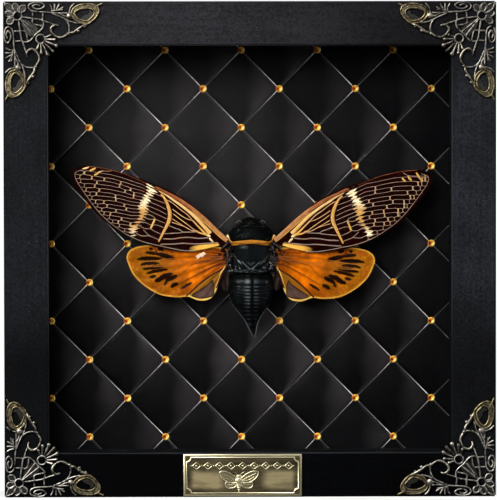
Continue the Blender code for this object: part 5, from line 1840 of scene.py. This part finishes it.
def abdomen_shape(x, front, z):
    """Overlapping rings, each standing out at its hind edge, with a groove along the middle."""
    place = Vector((x, front * 4, z)) * MM
    step = SEGMENT_STEP * (0.3 + 0.7 * max(front, 0) ** 0.5)
    push = -step * 0.7
    share = ring_share(z)
    if share < BAR_START:
        push += step * BAR_HEIGHT * share / BAR_START
    elif share < BAR_END:
        push += step * (BAR_HEIGHT + (1 - BAR_HEIGHT) * (share - BAR_START) / (BAR_END - BAR_START))
    else:
        push += step * (1 - share) / (1 - BAR_END)
    if front > 0:
        push -= MIDLINE_GROOVE * math.exp(
            -(((x - MIDLINE_X) / 0.75) ** 2)
        ) * min(1, max(0, (z - MIDLINE_END) / 6))
    side = abs(x) - FLANK_X
    push -= 0.22 * math.exp(-((side / 0.5) ** 2)) if z > FLANK_END else 0
    return push + 0.04 * granules(place, 1.1) + 0.015 * granules(place, 0.4)


def mark(piece, coarse, collar=0.0, amber=0.0, pale_share=0.0):
    """What the shader needs to know about a piece of the body."""
    for mark_name, value in zip(MARKS, (coarse, collar, amber, pale_share)):
        set_value(piece, mark_name, value)
    return piece


def body_place(out, back, high):
    """The place at these millimetres right of the body's axis, behind the wood's front and up."""
    return BODY_X + out * MM, wood_front + back * MM, high * MM


def body_mm(co):
    """A place as millimetres out from the body's axis and up."""
    return (co.x - BODY_X) / MM, co.z / MM


def collar_mark(co):
    """How orange a place on the thorax is; past one, where the rim bends forward, it turns cream."""
    x, z = body_mm(co)
    return collar_share(x, z) * (1 + max(0, abs(x) - 8.4) * 1.2) if co.y / MM < 0.6 else 0


thorax = mark(
    body_part("thorax", THORAX_PROFILE, 240, 240, thorax_shape),
    lambda co: 1.0 if co.z / MM > COARSE_ABOVE else 0.0, collar_mark, pale_share=thorax_painted_highlight,
)
abdomen = mark(
    body_part("abdomen", ABDOMEN_PROFILE, 260, 112, abdomen_shape),
    lambda co: 1.0 if ring_share(co.z / MM) < BAR_START else 0.0, pale_share=lambda co: min(ring_painted_highlight(co) * 1.3, 1),
)
flaps = []
for side in (-1, 1):
    line = [body_place(side * p.x, p.y, p.z) for p in smooth_path(FLAP_EDGE)]
    radii = [between(FLAP_RADII, k / (len(line) - 1)) * MM for k in range(len(line))]
    flaps.append(mark(tube_piece("flap", [line], [radii], sides=4), 0.0, pale_share=0.75))
abdomen = joined([abdomen] + flaps)
for vert in abdomen.data.vertices:
    vert.co.x += TAIL_BEND * (max(TAIL_START - vert.co.z / MM, 0) / TAIL_LENGTH) ** 2

head = ball(120, 80)
for vert in head.data.vertices:
    direction = vert.co.copy()
    rough = 0.06 * granules(direction * 6 * MM, 1.6) + 0.035 * granules(direction * 6 * MM, 0.7)
    furrow = BROW_DEPTH * math.exp(-(((direction.z - BROW_UP) / BROW_WIDTH) ** 2)) if direction.y < 0 else 0
    scale = 1 + min(rough, HEAD_LUMPS) - furrow
    vert.co = [d * scale * half * MM for d, half in zip(direction, HEAD_HALF_SIZE)]
    vert.co += Vector((BODY_X, wood_front + BODY_DEPTH * MM, HEAD_CENTRE_Z * MM))
only(head)
edit_all()
bpy.ops.mesh.bisect(plane_co=(0, 0, HEAD_CUT_Z * MM), plane_no=(0, 0, -1), clear_outer=True, use_fill=True)
end_edit()
head.data.shade_smooth()
mark(head, 1.0)
face = [head]
for out, back, high, radius, amber in (
    (-EYE_SPREAD, EYE_DEPTH, EYE_Z, EYE_RADIUS, 0.05), (EYE_SPREAD, EYE_DEPTH, EYE_Z, EYE_RADIUS, 0.05),
    (0.0, 13.4, 111.6, OCELLUS_RADIUS, 0.5), (-0.8, 13.3, 110.9, OCELLUS_RADIUS, 0.5),
    (0.8, 13.3, 110.9, OCELLUS_RADIUS, 0.5),
):
    eye = ball(40, 24, radius * MM, body_place(out, back, high))
    bake_place()
    eye.data.shade_smooth()
    face.append(mark(eye, 0.0, amber=amber))
for side in (-1, 1):
    # A grey arc over each eye is a painted glint.
    eye_glint = [
        body_place(side * EYE_SPREAD + out, EYE_DEPTH - GLINT_PROUD, EYE_Z + up)
        for out, up in arc((0, 0), EYE_RADIUS * 0.86, 0, 180, count=12)
    ]
    face.append(mark(tube_piece("eye_glint", [eye_glint], [0.16 * MM]), 0.0, pale_share=1.0))
    feeler = [
        body_place(side * out, back, high)
        for out, back, high in ((2.6, 14.4, 112.0), (3.1, 13.6, 112.9), (3.9, 13.2, 113.9))
    ]
    face.append(mark(tube_piece("feeler", [feeler], [[0.28 * MM, 0.14 * MM, 0.05 * MM]]), 0.0))
head = joined(face)

# Chitin: a black horny shell with a bluish gloss, pitted and rough in front and polished behind. The collar's
# rim is orange-brown and turns cream where it bends forward at the sides. The grey tone of the last mark is
# painted highlight on ridges, bars and eye rims, and a pale tone on the flaps' edges and some crumbs.
PIT_MM = 0.55


def shell_material(name, gloss):
    """Chitin of one gloss, marked by the attributes that mark() sets."""
    material, tree, shader = new_material(name, Specular_IOR_Level=gloss)
    place = add_node(tree, "TexCoord").outputs["Object"]
    coarse_read, collar_read, amber_read, pale_and_highlight_read = (
        add_node(tree, "Attribute", attribute_name=mark_name).outputs["Fac"] for mark_name in MARKS
    )
    bloom = add_node(tree, "TexNoise", {"Vector": place, "Scale": 420.0, "Detail": 4.0})
    smooth_share = add_node(tree, "Math", {0: coarse_read, 1: -0.75, 2: 1.0}, operation="MULTIPLY_ADD")
    blooming = add_node(tree, "Math", {0: bloom, 1: smooth_share}, operation="MULTIPLY")
    shell = add_node(tree, "Mix", {0: blooming, 6: "#020303", 7: "#0E1113"})
    collar_mask = add_node(tree, "MapRange", {"Value": collar_read, "From Min": 0.3, "From Max": 0.8})
    collar_cream = add_node(tree, "MapRange", {"Value": collar_read, "From Min": 1.3, "From Max": 2.2})
    collar_grain = add_node(tree, "Mix", {0: bloom, 6: "#7A4310", 7: "#C9852E"})
    collar_tone = add_node(tree, "Mix", {0: collar_cream, 6: collar_grain, 7: "#D9C58E"})
    # The grey mixed in here is painted highlight where the body marks it so.
    for share, tone in ((pale_and_highlight_read, "#5C6365"), (amber_read, "#5A3414"), (collar_mask, collar_tone)):
        shell = add_node(tree, "Mix", {0: share, 6: shell, 7: tone})
    pits = add_node(tree, "TexVoronoi", {"Vector": place, "Scale": 1 / (PIT_MM * MM)})
    polish_range = add_node(tree, "MapRange", {"Value": bloom, "To Min": 0.1, "To Max": 0.28})
    roughness = add_node(tree, "Math", {0: coarse_read, 1: 0.06, 2: polish_range}, operation="MULTIPLY_ADD")
    pit_depth = add_node(tree, "Math", {0: pits, 1: coarse_read}, operation="MULTIPLY")
    pit_depth = add_node(tree, "Math", {0: pit_depth, 1: 0.5}, operation="MULTIPLY")
    shell_height = add_node(tree, "Math", {0: bloom, 1: 0.08, 2: pit_depth}, operation="MULTIPLY_ADD")
    relief = add_node(tree, "Bump", {"Height": shell_height, "Strength": 0.6, "Distance": 0.2 * MM})
    wire(shader, {"Base Color": shell, "Roughness": roughness, "Normal": relief})
    return material


def two_glosses(piece):
    """The coarse faces of a piece of the body are duller than the rest of it."""
    piece.data.materials.append(rough_chitin)
    coarse = piece.data.attributes["coarse"].data
    for face in piece.data.polygons:
        face.material_index = 1 if coarse[face.vertices[0]].value > 0.5 else 0


chitin = shell_material("black_chitin", 0.16)
rough_chitin = shell_material("rough_black_chitin", 0.035)
for piece, name, node in (
    (head, "head_and_eyes", "cicada_head"), (thorax, "thorax_plates", "cicada_thorax"),
    (abdomen, "ringed_abdomen", "cicada_abdomen"),
):
    two_glosses(seat(piece, name, chitin, "chitin", node))


# ---------------------------------------------------------------- wing roots
# The horny lumps and straps that hinge the wings to the thorax, and the soft brown folds of wing skin
# beside the abdomen. They are part of the dried insect and aren't fixed in any way.

# Out from the body's axis, behind the front, height, the three half sizes in mm, and the tilt in degrees.
ROOT_LUMPS = (
    (10.2, 15.3, 102.0, 1.9, 1.2, 0.9, 38), (8.9, 15.0, 100.2, 1.2, 1.2, 1.3, 20),
    (11.4, 15.2, 100.4, 1.5, 0.9, 0.6, 42), (9.9, 15.8, 98.6, 1.5, 1.0, 0.8, 30),
    (8.5, 15.4, 97.2, 1.0, 1.1, 1.3, 0), (10.6, 16.0, 96.9, 1.3, 0.8, 0.55, 52),
    (9.3, 16.0, 95.2, 1.1, 0.9, 1.0, 20), (8.1, 16.0, 93.4, 1.1, 1.0, 0.9, -20),
    (9.9, 16.5, 93.3, 1.2, 0.7, 0.5, 60), (8.4, 16.6, 91.6, 1.3, 0.9, 0.6, 15),
)
ROOT_STRAPS = (
    (((8.4, 13.9, 103.6), (10.0, 13.7, 102.4), (11.8, 13.9, 100.9), (12.3, 14.3, 99.6)), 0.42),
    (((8.2, 14.3, 101.8), (9.4, 14.0, 100.2), (9.6, 14.3, 98.2), (9.1, 14.7, 96.4)), 0.3),
    (((9.0, 14.6, 96.6), (9.6, 14.9, 94.6), (9.0, 15.3, 92.4)), 0.3),
    (((11.6, 14.6, 98.2), (10.4, 14.8, 96.4), (10.2, 15.2, 94.0), (10.6, 15.8, 91.0)), 0.28),
    (((11.2, 15.9, 95.6), (12.2, 16.2, 92.2), (12.6, 16.5, 88.6)), 0.25),
)
FOLD_EDGE = (
    (7.6, 97.2), (9.6, 96.8), (11.6, 95.2), (13.0, 92.0), (13.2, 88.6), (12.4, 85.8), (11.6, 84.0),
    (10.4, 83.4), (9.4, 84.4), (8.8, 87.0), (8.0, 90.4), (7.4, 94.0),
)
FOLD_TIP = 6
FOLD_DEPTH = 17.6
ROOT_CRUMBS = 34
CRUMB_HEIGHTS = (91.0, 102.4)
CRUMBS_FROM = 7.6
CRUMB_SIZES = (0.22, 0.5)

scatter = random.Random(11)
roots = []
for side in (-1, 1):
    for number, (out, back, high, half_x, half_y, half_z, tilt) in enumerate(ROOT_LUMPS):
        lump = ball(32, 20)
        for vert in lump.data.vertices:
            vert.co *= 1 + 0.35 * noise.noise(vert.co * 1.6 + Vector((number * 3.1, side, 0)))
            vert.co *= 1 + 0.16 * noise.noise(vert.co * 4.5 + Vector((number * 5.7, side, 2)))
        lump.scale = (half_x * MM, half_y * MM, half_z * MM)
        lump.rotation_euler = (0, math.radians(side * tilt), 0)
        lump.location = body_place(side * out, back, high)
        bake_place()
        lump.data.shade_smooth()
        roots.append(mark(lump, 0.0, amber=0.06 * (number % 3)))
    for path, radius in ROOT_STRAPS:
        points = [body_place(side * p.x, p.y, p.z) for p in smooth_path(path)]
        count = len(points)
        radii = [radius * MM * (1 - 0.5 * abs(2 * k / (count - 1) - 1)) for k in range(count)]
        strap = tube_piece("strap", [points], [radii], sides=4)
        strap.data.shade_smooth()
        roots.append(mark(strap, 0.0, amber=0.1, pale_share=0.15))
    for _ in range(ROOT_CRUMBS):
        high = scatter.uniform(*CRUMB_HEIGHTS)
        out = CRUMBS_FROM + scatter.random() ** 1.5 * (1.2 + 0.25 * (high - CRUMB_HEIGHTS[0]))
        size = scatter.uniform(*CRUMB_SIZES)
        bpy.ops.mesh.primitive_ico_sphere_add(
            subdivisions=2, radius=size * MM,
            location=body_place(side * out, scatter.uniform(14.5, 15.3), high),
            rotation=(0, scatter.uniform(0, math.pi), 0), scale=(scatter.uniform(0.8, 2.4), 0.8, 0.7),
        )
        crumb = bake_place()
        crumb.data.shade_smooth()
        roots.append(
            mark(crumb, 0.0, amber=scatter.choice((0.0, 0.1, 0.2)), pale_share=scatter.choice((0.0, 0.1, 0.9)))
        )
seat(joined(roots), "wing_roots", chitin, "chitin")

# Soft wing skin, dried in wrinkles, dull and mottled brown.
fold_skin = mottled_material(
    "brown_fold_skin", "#070505", "#30241F", 350.0, 4.0, 0.5, 0.2, Roughness=0.6, Specular_IOR_Level=0.06
)
fold = thin_skin(
    "fold", FOLD_EDGE, FOLD_TIP, 60, 30,
    lambda p: 0.35 * math.sin(2.6 * p.x - 0.5 * p.y) + 0.2 * math.sin(1.3 * p.y),
)
for label, side in (("left", -1), ("right", 1)):
    place = (side, Vector((0, 0, 0)), FOLD_DEPTH * MM, 0)
    spread_wing(fold, f"wing_fold_{label}", fold_skin, "hindwing", *place)
bpy.data.objects.remove(fold)


# ---------------------------------------------------------------- legs
# Six thin legs, folded under the body, where only a little of them shows past its outline. The
# insect is glued to the pad through them.

LEG_ROUTES = {
    "front": ((6.4, 22.5, 104.6), (8.6, 22.8, 107.4), (6.6, 22.9, 109.4), (4.6, 22.9, 110.6)),
    "middle": ((7.0, 22.7, 98.6), (9.8, 22.8, 100.2), (10.6, 22.9, 97.4), (9.8, 23.0, 95.2)),
    "hind": ((6.8, 22.6, 94.4), (10.2, 22.8, 92.4), (10.6, 22.8, 87.4), (10.2, 23.0, 84.2)),
}
LEG_RADII = (0.6, 0.62, 0.5, 0.38, 0.42, 0.36, 0.3, 0.3, 0.24, 0.16)
KNEE_RADIUS = 0.55

for pair, route in LEG_ROUTES.items():
    for label, side in (("left", -1), ("right", 1)):
        knees = [Vector(body_place(side * out, back, high)) for out, back, high in route]
        line = []
        for a, b in zip(knees, knees[1:]):
            line += [a.lerp(b, k / 3) for k in range(3)]
        line.append(knees[-1])
        limb = [tube_piece("limb", [line], [[r * MM for r in LEG_RADII]], sides=5)]
        for knee in knees[1:3]:
            ball(16, 10, KNEE_RADIUS * MM, knee)
            limb.append(bake_place())
        leg = mark(joined(limb), 0.1, amber=0.12)
        leg.data.shade_smooth()
        seat(leg, f"folded_leg_{pair}_{label}", chitin, "chitin", f"leg_{pair}_{label}")


# ---------------------------------------------------------------- back fittings
# The back is closed by a sheet of hardboard, smooth side out, held by eight thin steel points. A
# toothed steel hanger lies on the top rail under two countersunk screws with crossed slots.

BOARD_CLOUD_MM = 22.0
BOARD_FIBRE_MM = 1.1
SCREW_SPACING = 37 * MM
SCREW_RADIUS = 2.2 * MM
SCREW_HEIGHT = 1.0 * MM
SCREW_TAPER = 0.72
SCREW_ROUND = 0.18 * MM
SLOT_TURNS = (25, 115)
SLOT_LENGTH = 2.7 * MM
SLOT_WIDTH = 0.6 * MM
SLOT_DEPTH = 0.6 * MM

hardboard, tree, shader = new_material("hardboard", Roughness=0.6, Specular_IOR_Level=0.25)
place = add_node(tree, "TexCoord").outputs["Object"]
board_cloud = add_node(tree, "TexNoise", {"Vector": place, "Scale": 1 / (BOARD_CLOUD_MM * MM), "Detail": 5.0})
board_fibre = add_node(
    tree, "TexNoise", {"Vector": place, "Scale": 1 / (BOARD_FIBRE_MM * MM), "Detail": 6.0, "Distortion": 2.0}
)
board_ground = add_node(tree, "Mix", {0: board_cloud, 6: "#6B472B", 7: "#8A6240"})
board_fleck = add_node(tree, "MapRange", {"Value": board_fibre, "From Min": 0.56, "From Max": 0.7})
board_tone = add_node(tree, "Mix", {0: board_fleck, 6: board_ground, 7: "#3A2413"})
relief = add_node(tree, "Bump", {"Height": board_fibre, "Strength": 0.3, "Distance": 0.1 * MM})
wire(shader, {"Base Color": board_tone, "Normal": relief})
dress(("backing_board",), hardboard)

zinc, tree, shader = new_material("zinc_plated_steel", Metallic=1.0)
place = add_node(tree, "TexCoord").outputs["Object"]
rolled_place = add_node(tree, "Mapping", {"Vector": place, "Scale": (40, 40, 2600)})
rolled = add_node(tree, "TexNoise", {"Vector": rolled_place, "Scale": 1.0, "Detail": 3.0})
bloomed = add_node(tree, "TexNoise", {"Vector": place, "Scale": 160.0, "Detail": 4.0})
zinc_tone = add_node(tree, "Mix", {0: bloomed, 6: "#9FA3A6", 7: "#D5D8DA"})
roughness = add_node(tree, "MapRange", {"Value": rolled, "To Min": 0.22, "To Max": 0.46})
wire(shader, {"Base Color": zinc_tone, "Roughness": roughness})
dress([f"point_{side}_{number}" for side in ("top", "bottom", "left", "right") for number in (1, 2)], zinc)
dress(("hanger",), zinc)

hanger_low, hanger_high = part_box("hanger")
screw_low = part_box("hanger_screw_left")[0]
for label, side in (("left", -1), ("right", 1)):
    centre = Vector(
        (side * SCREW_SPACING / 2, screw_low.y + SCREW_HEIGHT / 2, (hanger_low.z + hanger_high.z) / 2)
    )
    bpy.ops.object.select_all(action="DESELECT")
    bpy.ops.mesh.primitive_cone_add(
        vertices=48, radius1=SCREW_RADIUS, radius2=SCREW_RADIUS * SCREW_TAPER, depth=SCREW_HEIGHT,
        location=centre, rotation=(-math.pi / 2, 0, 0),
    )
    screw = bake_place()
    edit_all()
    bpy.ops.mesh.bevel(offset=SCREW_ROUND, segments=3, affect="EDGES")
    end_edit()
    for turn in SLOT_TURNS:
        bpy.ops.mesh.primitive_cube_add(
            size=1, location=centre + Vector((0, SCREW_HEIGHT / 2, 0)),
            rotation=(0, math.radians(turn + 20 * side), 0),
        )
        slot_cutter = bpy.context.object
        slot_cutter.scale = (SLOT_LENGTH, 2 * SLOT_DEPTH, SLOT_WIDTH)
        only(slot_cutter)
        bake_place()
        cut = screw.modifiers.new("slot", "BOOLEAN")
        cut.operation = "DIFFERENCE"
        cut.solver = "EXACT"
        cut.object = slot_cutter
        only(screw)
        bpy.ops.object.modifier_apply(modifier=cut.name)
        bpy.data.objects.remove(slot_cutter)
    screw.data.shade_smooth()
    screw.data.set_sharp_from_angle(angle=math.radians(35))
    seat(screw, f"cross_head_screw_{label}", zinc, "steel", f"hanger_screw_{label}")
